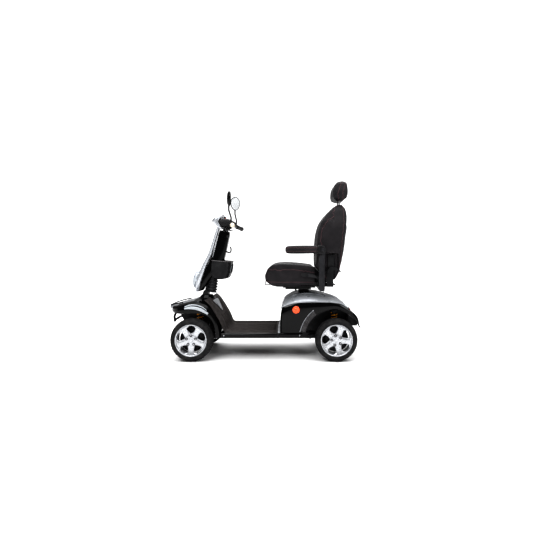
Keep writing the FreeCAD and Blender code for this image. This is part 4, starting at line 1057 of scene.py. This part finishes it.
def storage_box():
    """The open moulded bin behind the tiller, with a pale rim."""
    rows = [
        # z, front x, rear x, half width
        (0.618, 0.400, 0.304, 0.084), (0.628, 0.414, 0.286, 0.092), (0.656, 0.428, 0.273, 0.095),
        (0.700, 0.430, 0.265, 0.096), (0.740, 0.424, 0.261, 0.096), (0.762, 0.420, 0.260, 0.096),
    ]
    rings = []
    tilt = 0.012
    for z, front, rear, half in rows:
        ring = []
        for x, y in ((front, 0.0), (front, half * 0.7), (front - 0.012, half * 0.97),
                     (front - 0.045, half), (rear + 0.05, half), (rear + 0.018, half * 0.94),
                     (rear, half * 0.66), (rear, 0.0)):
            share = (x - rear) / (front - rear)
            ring.append((x, y, z + tilt * share * (1 if z > 0.7 else 0)))
        rings.append(ring + [(x, -y, z) for x, y, z in reversed(ring[1:-1])])
    points, faces = sections(rings, caps=False)
    faces.append(tuple(range(len(rings[0]))))
    tub = shell(mesh_piece("storage_box_look", (points, faces), BLACK_PLASTIC), 0.003)
    place_piece(tub, "tiller", ["storage_box"])
    lip = tube("storage_box_rim", rings[-1], 0.0036, MID_GREY, closed=True, steps=4)
    place_piece(lip, "tiller")


def storage_window():
    """The clear pane in the bin's rear wall, behind a row of thin bars."""
    window = []
    for z, rear, half in ((0.668, 0.2710, 0.054), (0.700, 0.2650, 0.058), (0.738, 0.2610, 0.060)):
        window.append([(rear, half, z), (rear, -half, z), (rear - 0.0025, -half, z),
                       (rear - 0.0025, half, z)])
    pane = rounded(mesh_piece("storage_box_window", sections(window), CLEAR_LENS), 0.001, 2)
    place_piece(pane, "tiller")
    for n in range(9):
        y = -0.052 + 0.013 * n
        route = [(0.2682, y, 0.668), (0.2622, y, 0.700), (0.2582, y, 0.738)]
        bar = tube(f"storage_bar_{n}", route, 0.0012, GREY_PLASTIC, steps=4)
        place_piece(bar, "tiller")


def mirror_heads():
    """Teardrop shells with a recessed glass facing the rider, the right one turned furthest in."""
    for side, turn in (("left", 20), ("right", -50)):
        low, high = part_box(f"mirror_head_{side}")
        centre = (Vector(low) + Vector(high)) / 2
        rings = [mirror_outline(centre, turn, depth, scale)
                 for depth, scale in ((0.0125, 0.10), (0.0118, 0.45), (0.0085, 0.78), (0.002, 0.965),
                                      (-0.006, 1.0), (-0.0085, 0.985), (-0.0085, 0.93), (-0.006, 0.90))]
        glass = [mirror_outline(centre, turn, depth, scale)
                 for depth, scale in ((-0.0055, 0.905), (-0.0062, 0.89), (-0.0062, 0.02))]
        points, faces = sections(rings)
        back = mesh_piece(f"mirror_shell_{side}", (points, faces[:-1]), GLOSS_BLACK)
        face = mesh_piece(f"mirror_glass_{side}", sections(glass), MIRROR_GLASS, smooth=False)
        place_piece(back, f"mirror_{side}", [f"mirror_head_{side}"])
        place_piece(face, f"mirror_{side}")


def mirror_outline(centre, turn, depth, scale):
    """An egg-shaped ring, wider at the top, in the mirror's own turned plane."""
    ring = []
    cos, sin = math.cos(math.radians(turn)), math.sin(math.radians(turn))
    for c, s in circle(36):
        across = 0.0485 * c * scale * (1 + 0.10 * s)
        ring.append((centre.x + depth * cos - across * sin, centre.y + depth * sin + across * cos,
                     centre.z + 0.0615 * s * scale))
    return ring


tiller_shroud()
tiller_fascia()
visor()
headlamp()
console()
console_keys()
grips()
bellows()
storage_box()
storage_window()
mirror_heads()


# ---------------------------------------------------------------- upholstery

def settled(obj):
    """Applies a piece's modifiers to its mesh."""
    depsgraph = bpy.context.evaluated_depsgraph_get()
    mesh = bpy.data.meshes.new_from_object(obj.evaluated_get(depsgraph), depsgraph=depsgraph)
    obj.modifiers.clear()
    obj.data = mesh
    return obj


def foam(name, source, draw_in=0.005, voxel=0.006):
    """An evenly meshed copy of a soft solid, drawn in a little before it swells."""
    obj = bpy.data.objects.new(name, source.data.copy())
    bpy.context.scene.collection.objects.link(obj)
    obj.data.materials.clear()
    obj.data.materials.append(LEATHER)
    modify(obj, "REMESH", mode="VOXEL", voxel_size=voxel, use_smooth_shade=True)
    modify(obj, "SMOOTH", factor=0.5, iterations=8)
    settled(obj)
    moves = [vertex.co - vertex.normal * draw_in for vertex in obj.data.vertices]
    for vertex, place in zip(obj.data.vertices, moves):
        vertex.co = place
    return obj


def laid_on(obj, points, steps=6, closed=False, lift=0.0):
    """A smooth line through points, laid on the piece's surface."""
    tree = BVHTree.FromPolygons([v.co for v in obj.data.vertices],
                                [tuple(p.vertices) for p in obj.data.polygons])
    line = []
    for point in spline(points, steps, closed):
        place, normal, _, _ = tree.find_nearest(point)
        line.append(place + normal * lift)
    return line


def distances(obj, seams):
    """How far each vertex is from the nearest seam."""
    points = [point for seam in seams for point in seam]
    tree = KDTree(len(points))
    for number, point in enumerate(points):
        tree.insert(point, number)
    tree.balance()
    return [tree.find(vertex.co)[2] for vertex in obj.data.vertices]


def swollen(obj, seams, cap, pressure=4.0, frames=20):
    """Inflates the pad as cloth that is held along its seams, and keeps the result."""
    reach = distances(obj, seams)
    held = obj.vertex_groups.new(name="seams")
    held.add([n for n, gap in enumerate(reach) if gap < 0.006], 1.0, "REPLACE")
    start = [vertex.co.copy() for vertex in obj.data.vertices]
    cloth = obj.modifiers.new("cloth", "CLOTH")
    cloth.settings.use_pressure = True
    cloth.settings.uniform_pressure_force = pressure
    cloth.settings.effector_weights.gravity = 0
    cloth.settings.vertex_group_mass = held.name
    cloth.settings.pin_stiffness = 4
    cloth.collision_settings.use_collision = False
    for number in range(1, frames + 1):
        bpy.context.scene.frame_set(number)
    depsgraph = bpy.context.evaluated_depsgraph_get()
    shape = obj.evaluated_get(depsgraph).to_mesh()
    places = [vertex.co.copy() for vertex in shape.vertices]
    obj.evaluated_get(depsgraph).to_mesh_clear()
    obj.modifiers.clear()
    obj.vertex_groups.clear()
    bpy.context.scene.frame_set(1)
    for vertex, before, after in zip(obj.data.vertices, start, places):
        way = after - before
        vertex.co = before + way * min(1.0, cap / max(way.length, 0.0001))
    return obj


def sewn(obj, seams, depth=0.0035, width=0.006):
    """Presses a stitched channel along each seam."""
    reach = distances(obj, seams)
    obj.data.update()
    moves = [vertex.co - vertex.normal * (depth * math.exp(-(gap / width) ** 2))
             for vertex, gap in zip(obj.data.vertices, reach)]
    for vertex, place in zip(obj.data.vertices, moves):
        vertex.co = place
    return modify(obj, "SUBSURF", levels=1, render_levels=1)


def piping(name, obj, seam, body, radius=0.0026, closed=True):
    """A cord sewn along a seam; its dusky pink is partly the cord's own colour and partly a painted
    highlight along the seam.
    """
    bead = tube(name, laid_on(obj, seam, 1, closed, radius * 0.3), radius, PIPING_HIGHLIGHT, closed, 1, 3)
    return place_piece(bead, body)


def stitches(name, obj, seam, body, pitch=0.007):
    """A row of separate thread stitches along a seam."""
    line = laid_on(obj, seam, 1)
    parts, walked = [], 0.0
    for first, second in zip(line, line[1:]):
        walked += (second - first).length
        if walked < pitch:
            continue
        walked = 0.0
        way = (second - first).normalized()
        tree_side = way.cross(Vector((0, 0, 1)))
        side = tree_side.normalized() if tree_side.length > 0.1 else Vector((1, 0, 0))
        up = way.cross(side).normalized()
        middle = (first + second) / 2
        corners = [middle + way * (a * 0.0022) + side * (b * 0.0006) for a, b in
                   ((-1, -1), (1, -1), (1, 1), (-1, 1))]
        rings = [[tuple(corner + up * lift) for corner in corners] for lift in (-0.0012, 0.0012)]
        parts.append(sections(rings))
    # The stitches share the piping's dusky pink, partly a painted highlight.
    row = merged(name, parts, PIPING_HIGHLIGHT)
    return place_piece(row, body)


def seat_seams(obj):
    """Outer edge of the top panel, the crescent bolster seam, and two cross channels."""
    low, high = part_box("seat_cushion")
    centre = (low[0] + high[0]) / 2
    long, wide = (high[0] - low[0]) / 2, (high[1] - low[1]) / 2
    edge = []
    for c, s in circle(28):
        x = centre + (long + 0.03) * math.copysign(abs(c) ** 0.55, c)
        y = (wide + 0.03) * math.copysign(abs(s) ** 0.55, s)
        edge.append((x, y, high[2] - 0.050 - 0.024 * (1 - (x - low[0]) / (2 * long))))
    hem = [(x, y, low[2] + 0.034) for x, y, _ in edge]
    top = high[2] + 0.02
    left = [(low[0] + 0.02, 0.150, top), (centre - 0.04, 0.158, top), (centre + 0.08, 0.150, top),
            (high[0] - 0.085, 0.105, top)]
    bolster = both_sides(left)
    bolster.insert(len(left), (high[0] - 0.068, 0.0, top))
    lines = [laid_on(obj, edge, 6, True), laid_on(obj, hem, 6, True), laid_on(obj, bolster, 10)]
    for x in (centre - 0.055, centre + 0.050):
        lines.append(laid_on(obj, [(x, 0.150, top), (x + 0.012, 0.0, top), (x, -0.150, top)], 24))
    return lines


def seat_cushion():
    pad = foam("seat_cushion_pad", bpy.data.objects["seat_cushion"])
    seams = seat_seams(pad)
    swollen(pad, seams, 0.010)
    seams = seat_seams(pad)
    sewn(pad, seams)
    place_piece(pad, "seat", ["seat_cushion"])
    piping("seat_piping", pad, seams[0], "seat")
    piping("seat_hem", pad, seams[1], "seat", 0.0022)
    stitches("seat_stitches", pad, seams[2], "seat")


def front_of_back(z):
    """The front line of the backrest, seen from the side."""
    rows = [(0.600, -0.561), (0.640, -0.500), (0.712, -0.440), (0.807, -0.440), (0.920, -0.445),
            (1.004, -0.451), (1.089, -0.476), (1.152, -0.519), (1.215, -0.582), (1.240, -0.624)]
    for (low, a), (high, b) in zip(rows, rows[1:]):
        if z <= high:
            return a + (b - a) * (z - low) / (high - low)
    return rows[-1][1]


def back_seams(obj):
    """The front panel's edge, the shell's edge behind, bolster lines and a lumbar channel."""
    side = [(front_of_back(z) - 0.037, 0.26, z) for z in (0.70, 0.78, 0.87, 0.96, 1.04, 1.11, 1.17)]
    crown = [(-0.596, 0.15, 1.27), (-0.604, 0.07, 1.29)]
    foot = [(-0.520, 0.16, 0.60), (-0.530, 0.08, 0.58)]
    half = list(reversed(foot)) + side + crown
    panel = both_sides(half)
    back_half = [(-0.600, 0.08, 0.585), (-0.602, 0.16, 0.60), (-0.618, 0.26, 0.70),
                 (-0.634, 0.26, 0.80), (-0.644, 0.26, 0.92), (-0.656, 0.26, 1.04),
                 (-0.664, 0.24, 1.14), (-0.660, 0.16, 1.25), (-0.656, 0.07, 1.27)]
    shell_edge = both_sides(back_half)
    lines = [laid_on(obj, panel, 8, True), laid_on(obj, shell_edge, 8, True)]
    for sign in (1, -1):
        inner = [(front_of_back(z) + 0.03, sign * y, z)
                 for z, y in ((0.69, 0.120), (0.80, 0.132), (0.92, 0.128), (1.03, 0.115), (1.12, 0.088),
                              (1.18, 0.050))]
        lines.append(laid_on(obj, inner, 12))
    for z in (0.845, 1.010):
        across = [(front_of_back(z) + 0.03, y, z - 0.01 * (y / 0.12) ** 2) for y in (0.13, 0.0, -0.13)]
        lines.append(laid_on(obj, across, 24))
    return lines


def backrest_cushion():
    pad = foam("backrest_cushion_pad", bpy.data.objects["backrest_cushion"])
    seams = back_seams(pad)
    swollen(pad, seams, 0.008)
    seams = back_seams(pad)
    sewn(pad, seams, 0.003)
    place_piece(pad, "backrest", ["backrest_cushion"])
    piping("backrest_piping", pad, seams[0], "backrest")
    piping("backrest_shell_edge", pad, seams[1], "backrest", 0.0022)
    for number, seam in enumerate(seams[2:4]):
        stitches(f"backrest_stitches_{number}", pad, seam, "backrest")


def head_seams(obj):
    low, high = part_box("headrest_pad")
    lines = []
    for shift in (-0.036, -0.092):
        half = [(-0.600, 0.07, 1.25), (-0.590, 0.14, 1.29), (-0.592, 0.16, 1.34), (-0.606, 0.14, 1.395),
                (-0.628, 0.08, 1.45)]
        half = [(x + shift + (0.02 if shift < -0.05 else 0), y, z) for x, y, z in half]
        ring = both_sides(half)
        lines.append(laid_on(obj, ring, 8, True))
    across = [(high[0] + 0.02, y, (low[2] + high[2]) / 2 - 0.012) for y in (0.10, 0.0, -0.10)]
    lines.append(laid_on(obj, across, 20))
    return lines


def headrest():
    pad = foam("headrest_pad_look", bpy.data.objects["headrest_pad"], 0.004, 0.005)
    seams = head_seams(pad)
    swollen(pad, seams[:2], 0.008)
    seams = head_seams(pad)
    sewn(pad, seams[:2], 0.0025)
    place_piece(pad, "headrest", ["headrest_pad"])
    piping("headrest_piping", pad, seams[0], "headrest", 0.0024)
    piping("headrest_back_edge", pad, seams[1], "headrest", 0.0020)


def arm_block(side, sign):
    """The plain shape of an armrest pad, rounded at the front, before it is upholstered."""
    rows = [(-0.1920, 0.35, 0.862), (-0.1945, 0.62, 0.862), (-0.203, 0.86, 0.8620),
            (-0.222, 0.98, 0.8625), (-0.260, 1.0, 0.8630), (-0.340, 0.99, 0.8640),
            (-0.420, 0.97, 0.8650), (-0.458, 0.93, 0.8650)]
    rings = []
    for x, scale, z in rows:
        ring = []
        for c, s in circle(20):
            y = 0.0275 * scale * math.copysign(abs(c) ** 0.6, c)
            up = 0.0325 * scale * math.copysign(abs(s) ** 0.7, s)
            ring.append((x, sign * ARM_Y + y, z + up))
        rings.append(ring)
    return mesh_piece(f"arm_block_{side}", sections(rings))


def armrest(side, sign):
    block = arm_block(side, sign)
    pad = foam(f"armrest_pad_{side}", block, 0.0015, 0.005)
    bpy.data.objects.remove(block)
    seams = []
    for z in (0.879, 0.848):
        line = [(x, sign * y, z - drop) for x, y, drop in
                ((-0.452, 0.307, 0), (-0.340, 0.307, 0), (-0.240, 0.307, 0), (-0.186, 0.290, 0.002),
                 (-0.180, 0.272, 0.003), (-0.186, 0.254, 0.002), (-0.240, 0.237, 0),
                 (-0.340, 0.237, 0), (-0.452, 0.237, 0))]
        seams.append(laid_on(pad, line, 12))
    swollen(pad, seams, 0.0035)
    sewn(pad, seams, 0.002, 0.004)
    place_piece(pad, f"arm_{side}", [f"armrest_{side}"])
    piping(f"armrest_piping_{side}", pad, seams[0], f"arm_{side}", 0.0019, closed=False)
    piping(f"armrest_lower_piping_{side}", pad, seams[1], f"arm_{side}", 0.0015, closed=False)
    elbow(side, sign)


def elbow(side, sign):
    """The moulded cover round the armrest's hinge, with its end caps."""
    rings = []
    for y, scale in ((0.2425, 0.55), (0.2435, 0.84), (0.247, 0.96), (0.254, 1.0), (0.290, 1.0),
                     (0.297, 0.96), (0.3005, 0.84), (0.3015, 0.55)):
        ring = []
        for x, z in ((-0.440, 0.831), (-0.437, 0.862), (-0.441, 0.893), (-0.462, 0.8985),
                     (-0.488, 0.896), (-0.506, 0.880), (-0.5085, 0.858), (-0.502, 0.838),
                     (-0.487, 0.8265), (-0.460, 0.826)):
            ring.append((-0.473 + (x + 0.473) * scale, sign * y, 0.862 + (z - 0.862) * scale))
        rings.append(ring)
    cover = mesh_piece(f"elbow_cover_{side}", sections(rings), BLACK_PLASTIC)
    modify(cover, "SUBSURF", levels=2, render_levels=2)
    place_piece(cover, f"arm_{side}")
    cap = disc(0.0135, 0.0, 0.0045, dome=0.0012, steps=32)
    caps = [moved(cap, -0.482, sign * 0.3002, 0.860, sign)]
    place_piece(merged(f"elbow_cap_{side}", caps, GREY_PLASTIC), f"arm_{side}")


def lap_belt():
    """Webbing and a latch tucked along each side of the seat cushion."""
    for side, sign in SIDES:
        rings = []
        for x, y, z in ((-0.455, 0.2365, 0.640), (-0.430, 0.2425, 0.652), (-0.395, 0.2450, 0.660),
                        (-0.362, 0.2455, 0.664)):
            rings.append([(x, sign * (y - 0.0012), z - 0.012), (x, sign * (y + 0.0012), z - 0.012),
                          (x, sign * (y + 0.0012), z + 0.012), (x, sign * (y - 0.0012), z + 0.012)])
        web = rounded(mesh_piece(f"belt_web_{side}", sections(rings), SOFT_RUBBER), 0.0006, 2)
        shape = [(-0.372, 0.650), (-0.330, 0.653), (-0.318, 0.660), (-0.316, 0.668), (-0.324, 0.677),
                 (-0.372, 0.679)]
        latch = plate(f"belt_latch_{side}", shape, sign * 0.2410, sign * 0.2500, BLACK_PLASTIC)
        rounded(latch, 0.0025, 3)
        place_piece(web, "seat")
        place_piece(latch, "seat")


seat_cushion()
backrest_cushion()
headrest()
for hand, way in SIDES:
    armrest(hand, way)
lap_belt()


# ---------------------------------------------------------------- footwell

def leg_profile():
    """The rider's side of the deck and leg shield as (x, z), from the rear of the deck up."""
    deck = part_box("floor_mat")[1][2] - 0.0022
    return [(-0.138, deck), (-0.02, deck), (0.10, deck), (0.20, deck), (0.245, deck + 0.0008),
            (0.272, deck + 0.009), (0.287, deck + 0.028), (0.299, 0.268), (0.319, 0.310), (0.343, 0.350),
            (0.369, 0.392), (0.393, 0.428), (0.415, 0.452), (0.436, 0.470)]


def along_profile(y, lift):
    """The profile's smooth line at one width, raised off the surface by lift(z)."""
    line = spline([(x, 0, z) for x, z in leg_profile()], 5)
    placed = []
    for number, point in enumerate(line):
        before, after = line[max(number - 1, 0)], line[min(number + 1, len(line) - 1)]
        way = (after - before).normalized()
        normal = Vector((-way.z, 0, way.x))
        raised = point + normal * lift(point.z)
        placed.append(Vector((raised.x, y, raised.z)))
    return placed


def ridge(y):
    """How far the sculpted side lobes stand off the leg shield at this width."""
    return 0.0075 * math.exp(-((abs(y) - 0.158) / 0.026) ** 2)


def leg_shield():
    """The deck and leg shield as one moulded skin with a raised lobe down each side."""
    widths = [-0.2455, -0.240, -0.225, -0.205, -0.185, -0.170, -0.158, -0.146, -0.130, -0.105, -0.07,
              -0.035, 0.0]
    widths += [-y for y in reversed(widths[:-1])]
    rows = []
    for y in widths:
        drop = 0.004 if abs(y) > 0.243 else 0.0

        def lift(z, y=y, drop=drop):
            share = min(1.0, max(0.0, (z - 0.225) / 0.05)) * min(1.0, max(0.0, (0.475 - z) / 0.05))
            return ridge(y) * share - 0.0012 - drop

        rows.append(along_profile(y, lift))
    skin = mesh_piece("leg_shield", open_skin(rows), MAT_RUBBER)
    shell(skin, 0.004, 1)
    place_piece(skin, "chassis", ["footwell", "floor_mat"])


def mat_ribs():
    """Raised anti-slip ribs that run along the deck and up the leg shield."""
    parts = []
    for number in range(31):
        y = -0.135 + 0.009 * number
        top = 0.452 if abs(y) > 0.1 else 0.335
        parts += rib(y, top)
    for sign in (1, -1):
        for number in range(7):
            parts += rib(sign * (0.178 + 0.009 * number), 0.222)
    ribs = merged("mat_ribs", parts, MAT_RUBBER)
    place_piece(ribs, "chassis")


def rib(y, top):
    """One low rounded rib as a strip along the profile, up to a height."""
    half, high = 0.0026, 0.0016

    def section_line(offset, lift):
        return [point for point in along_profile(y + offset, lambda z: lift)
                if -0.130 < point.x and point.z < top]

    lines = [section_line(-half, -0.0016), section_line(-half * 0.6, high), section_line(half * 0.6, high),
             section_line(half, -0.0016)]
    count = min(len(line) for line in lines)
    rings = [[tuple(line[n]) for line in lines] for n in range(count)]
    return [sections(rings)]


def shield_badge():
    """A plain pale triangular piece high on the leg shield."""
    rings = []
    for lift, grow in ((0.0005, 1.0), (0.0042, 1.0), (0.0052, 0.92)):
        ring = []
        for y, t in ((0.092, 0.96), (0.060, 0.985), (0.0, 1.0), (-0.060, 0.985), (-0.092, 0.96),
                     (-0.085, 0.86), (-0.045, 0.42), (-0.012, 0.05), (0.0, 0.0), (0.012, 0.05),
                     (0.045, 0.42), (0.085, 0.86)):
            share = 0.5 + (t - 0.5) * grow
            z = 0.352 + 0.094 * share
            ring.append(profile_at(z, y * grow, lift))
        rings.append(ring)
    badge = mesh_piece("shield_badge", sections(rings), PEARL, smooth=False)
    rounded(badge, 0.0008, 2)
    place_piece(badge, "chassis")


def profile_at(z, y, lift):
    """The point of the leg shield at a height."""
    line = along_profile(y, lambda h: lift)
    for low, high in zip(line, line[1:]):
        if low.z <= z <= high.z and high.z > low.z:
            return tuple(low.lerp(high, (z - low.z) / (high.z - low.z)))
    return tuple(line[-1])


def sills():
    """Gloss sills along both edges of the deck, with a joint and two screws."""
    for side, sign in SIDES:
        rings = []
        for x, low, high in ((-0.328, 0.184, 0.2145), (-0.324, 0.178, 0.2150), (-0.240, 0.1765, 0.2150),
                             (-0.136, 0.1765, 0.2145), (0.0, 0.1765, 0.2140), (0.15, 0.1768, 0.2142),
                             (0.27, 0.1775, 0.2145), (0.300, 0.178, 0.2150), (0.314, 0.179, 0.2150)):
            rings.append([(x, sign * 0.2465, high - 0.004), (x, sign * 0.2500, high),
                          (x, sign * 0.2620, high - 0.0012), (x, sign * 0.2690, high - 0.010),
                          (x, sign * 0.2695, (low + high) / 2), (x, sign * 0.2670, low + 0.006),
                          (x, sign * 0.2600, low), (x, sign * 0.2465, low)])
        sill = mesh_piece(f"sill_{side}", sections(rings), GLOSS_BLACK)
        modify(sill, "SUBSURF", levels=1, render_levels=1)
        place_piece(sill, "chassis")
        joint = rounded(plate(f"sill_joint_{side}", [(-0.141, 0.178), (-0.131, 0.178), (-0.131, 0.213),
                                                     (-0.141, 0.213)],
                              sign * 0.262, sign * 0.2708, BLACK_PLASTIC), 0.001)
        place_piece(joint, "chassis")
        screws = [moved(disc(0.0045, 0.0, 0.0022, dome=0.0008), x, sign * 0.2690, 0.196, sign)
                  for x in (-0.305, 0.285)]
        place_piece(merged(f"sill_screws_{side}", screws, STEEL), "chassis")


def deck_strip():
    """The pale edge strip across the rear end of the deck."""
    rings = []
    for n in range(17):
        y = -0.240 + 0.480 * n / 16
        bow = 0.006 * (y / 0.24) ** 2
        rings.append([(-0.150 - bow, y, 0.2085), (-0.150 - bow, y, 0.2135), (-0.146 - bow, y, 0.2155),
                      (-0.133 - bow, y, 0.2150), (-0.129 - bow, y, 0.2115), (-0.129 - bow, y, 0.2085)])
    place_piece(mesh_piece("deck_strip", sections(rings), PEARL), "chassis")


def tail_lights():
    """Two-part rear lamps in a chrome bezel on the tail wall."""
    for side, sign in SIDES:
        parts = ((RED_LENS, "red_lens", 0.192, 0.224), (AMBER_LENS, "amber_lens", 0.172, 0.190),
                 (CLEAR_LENS, "clear_lens", 0.152, 0.170))
        for number, (material, slot, near, far) in enumerate(parts):
            rings = []
            for x, inset in ((-0.7005, 0.0), (-0.708, 0.0), (-0.7115, 0.003), (-0.7120, 0.007)):
                rings.append([(x, sign * (near + inset), 0.354 + inset),
                              (x, sign * (far - inset), 0.354 + inset),
                              (x, sign * (far - inset), 0.394 - inset),
                              (x, sign * (near + inset), 0.394 - inset)])
            lamp = rounded(mesh_piece(f"tail_lamp_{side}_{number}", sections(rings), material), 0.002, 3)
            place_piece(lamp, "chassis", ["tail_lights"] if sign == 1 and number == 0 else ())
        frame_line = [(-0.7045, sign * y, z) for y, z in ((0.148, 0.350), (0.228, 0.350), (0.228, 0.398),
                                                         (0.148, 0.398))]
        bezel = tube(f"tail_bezel_{side}", frame_line, 0.0032, CHROME, closed=True, steps=1)
        place_piece(bezel, "chassis")


def rear_reflectors():
    """Small round red reflectors low on the tail wall."""
    profile = ((0.019, -0.7000), (0.019, -0.7045), (0.0165, -0.7068), (0.0005, -0.7075))
    for side, sign in SIDES:
        rings = [[(x, sign * 0.150 + r * cos, 0.325 + r * sin) for cos, sin in circle(32)]
                 for r, x in profile]
        piece = mesh_piece(f"rear_reflector_{side}", sections(rings), RED_LENS)
        place_piece(piece, "chassis")


leg_shield()
mat_ribs()
shield_badge()
sills()
deck_strip()
tail_lights()
rear_reflectors()


# ---------------------------------------------------------------- CAD parts that keep their shape

dress(FRAME_PAINT, "main_frame", "front_axle_beam", "rear_transaxle", "tiller_column", "handlebar",
      "seat_post", "seat_swivel", "seat_pan", "backrest_frame", "front_bumper")
dress(GREY_PLASTIC, "batteries", "armrest_post_left", "armrest_post_right", "speed_dial")
dress(STEEL, "freewheel_lever", "knuckle_left", "knuckle_right", "tie_rod", "ignition_key")
dress(BLACK_PLASTIC, "throttle_lever", "brake_lever", "slide_lever", "swivel_lever", "recline_lever")
dress(GLOSS_BLACK, "steering_stem")
dress(CHROME, "headrest_post")
dress(AMBER_LENS, "horn_button")


# ---------------------------------------------------------------- stage

LIGHTS = [
    # name, place, size, watts
    ("key", (1.6, 3.2, 3.4), (2.4, 1.2), 75),
    ("side", (-2.8, 2.6, 2.6), (1.8, 1.2), 45),
    ("back", (0.2, -3.4, 3.2), (3.0, 1.2), 45),
]


def studio():
    """A pale floor and plain soft lights."""
    world = bpy.data.worlds.new("studio")
    world.use_nodes = True
    tree = world.node_tree
    backdrop = tree.nodes["Background"]
    backdrop.inputs["Color"].default_value = (1, 1, 1, 1)
    path = tree.nodes.new("ShaderNodeLightPath")
    level = tree.nodes.new("ShaderNodeMapRange")
    level.inputs["To Min"].default_value = 0.18
    level.inputs["To Max"].default_value = 1.0
    tree.links.new(path.outputs["Is Camera Ray"], level.inputs["Value"])
    tree.links.new(level.outputs["Result"], backdrop.inputs["Strength"])
    bpy.context.scene.world = world
    bpy.context.scene.view_settings.view_transform = "Standard"
    bpy.context.scene.view_settings.look = "High Contrast"
    reach = 40
    corners = [(-reach, -reach), (reach, -reach), (reach, reach), (-reach, reach)]
    floor = plate("floor", corners, -0.004, -0.0004, FLOOR, axis="z")
    sky = bpy.data.lights.new("sky", "SUN")
    sky.energy, sky.angle = 3.2, 1.3
    bpy.context.scene.collection.objects.link(bpy.data.objects.new("sky", sky))
    for name, place, size, energy in LIGHTS:
        light = bpy.data.lights.new(name, "AREA")
        light.shape = "RECTANGLE"
        light.size, light.size_y = size
        light.energy = energy
        lamp = bpy.data.objects.new(name, light)
        lamp.location = place
        aim = Vector((0, 0, 0.6)) - Vector(place)
        lamp.rotation_euler = aim.to_track_quat("-Z", "Y").to_euler()
        bpy.context.scene.collection.objects.link(lamp)


def camera():
    """Square on to the rider's left side, at the height of the armrests."""
    lens_data = bpy.data.cameras.new("camera")
    lens_data.sensor_width = 36
    lens_data.lens = 25.19
    lens_data.shift_x, lens_data.shift_y = -0.0441, -0.0317
    eye = bpy.data.objects.new("camera", lens_data)
    eye.location = (-0.230, 3.165, 0.8635)
    eye.rotation_euler = (math.radians(90), 0, math.radians(180))
    bpy.context.scene.collection.objects.link(eye)
    bpy.context.scene.camera = eye


FLOOR = shader("floor_paper", (0.86, 0.86, 0.86), 1.0, specular_ior_level=0.0)
fibres = texture(FLOOR, "Noise", 40, detail=4)
tint(FLOOR, fibres.outputs["Fac"], 0.2, 0.8, (0.84, 0.84, 0.84), (0.88, 0.88, 0.88))
studio()
camera()
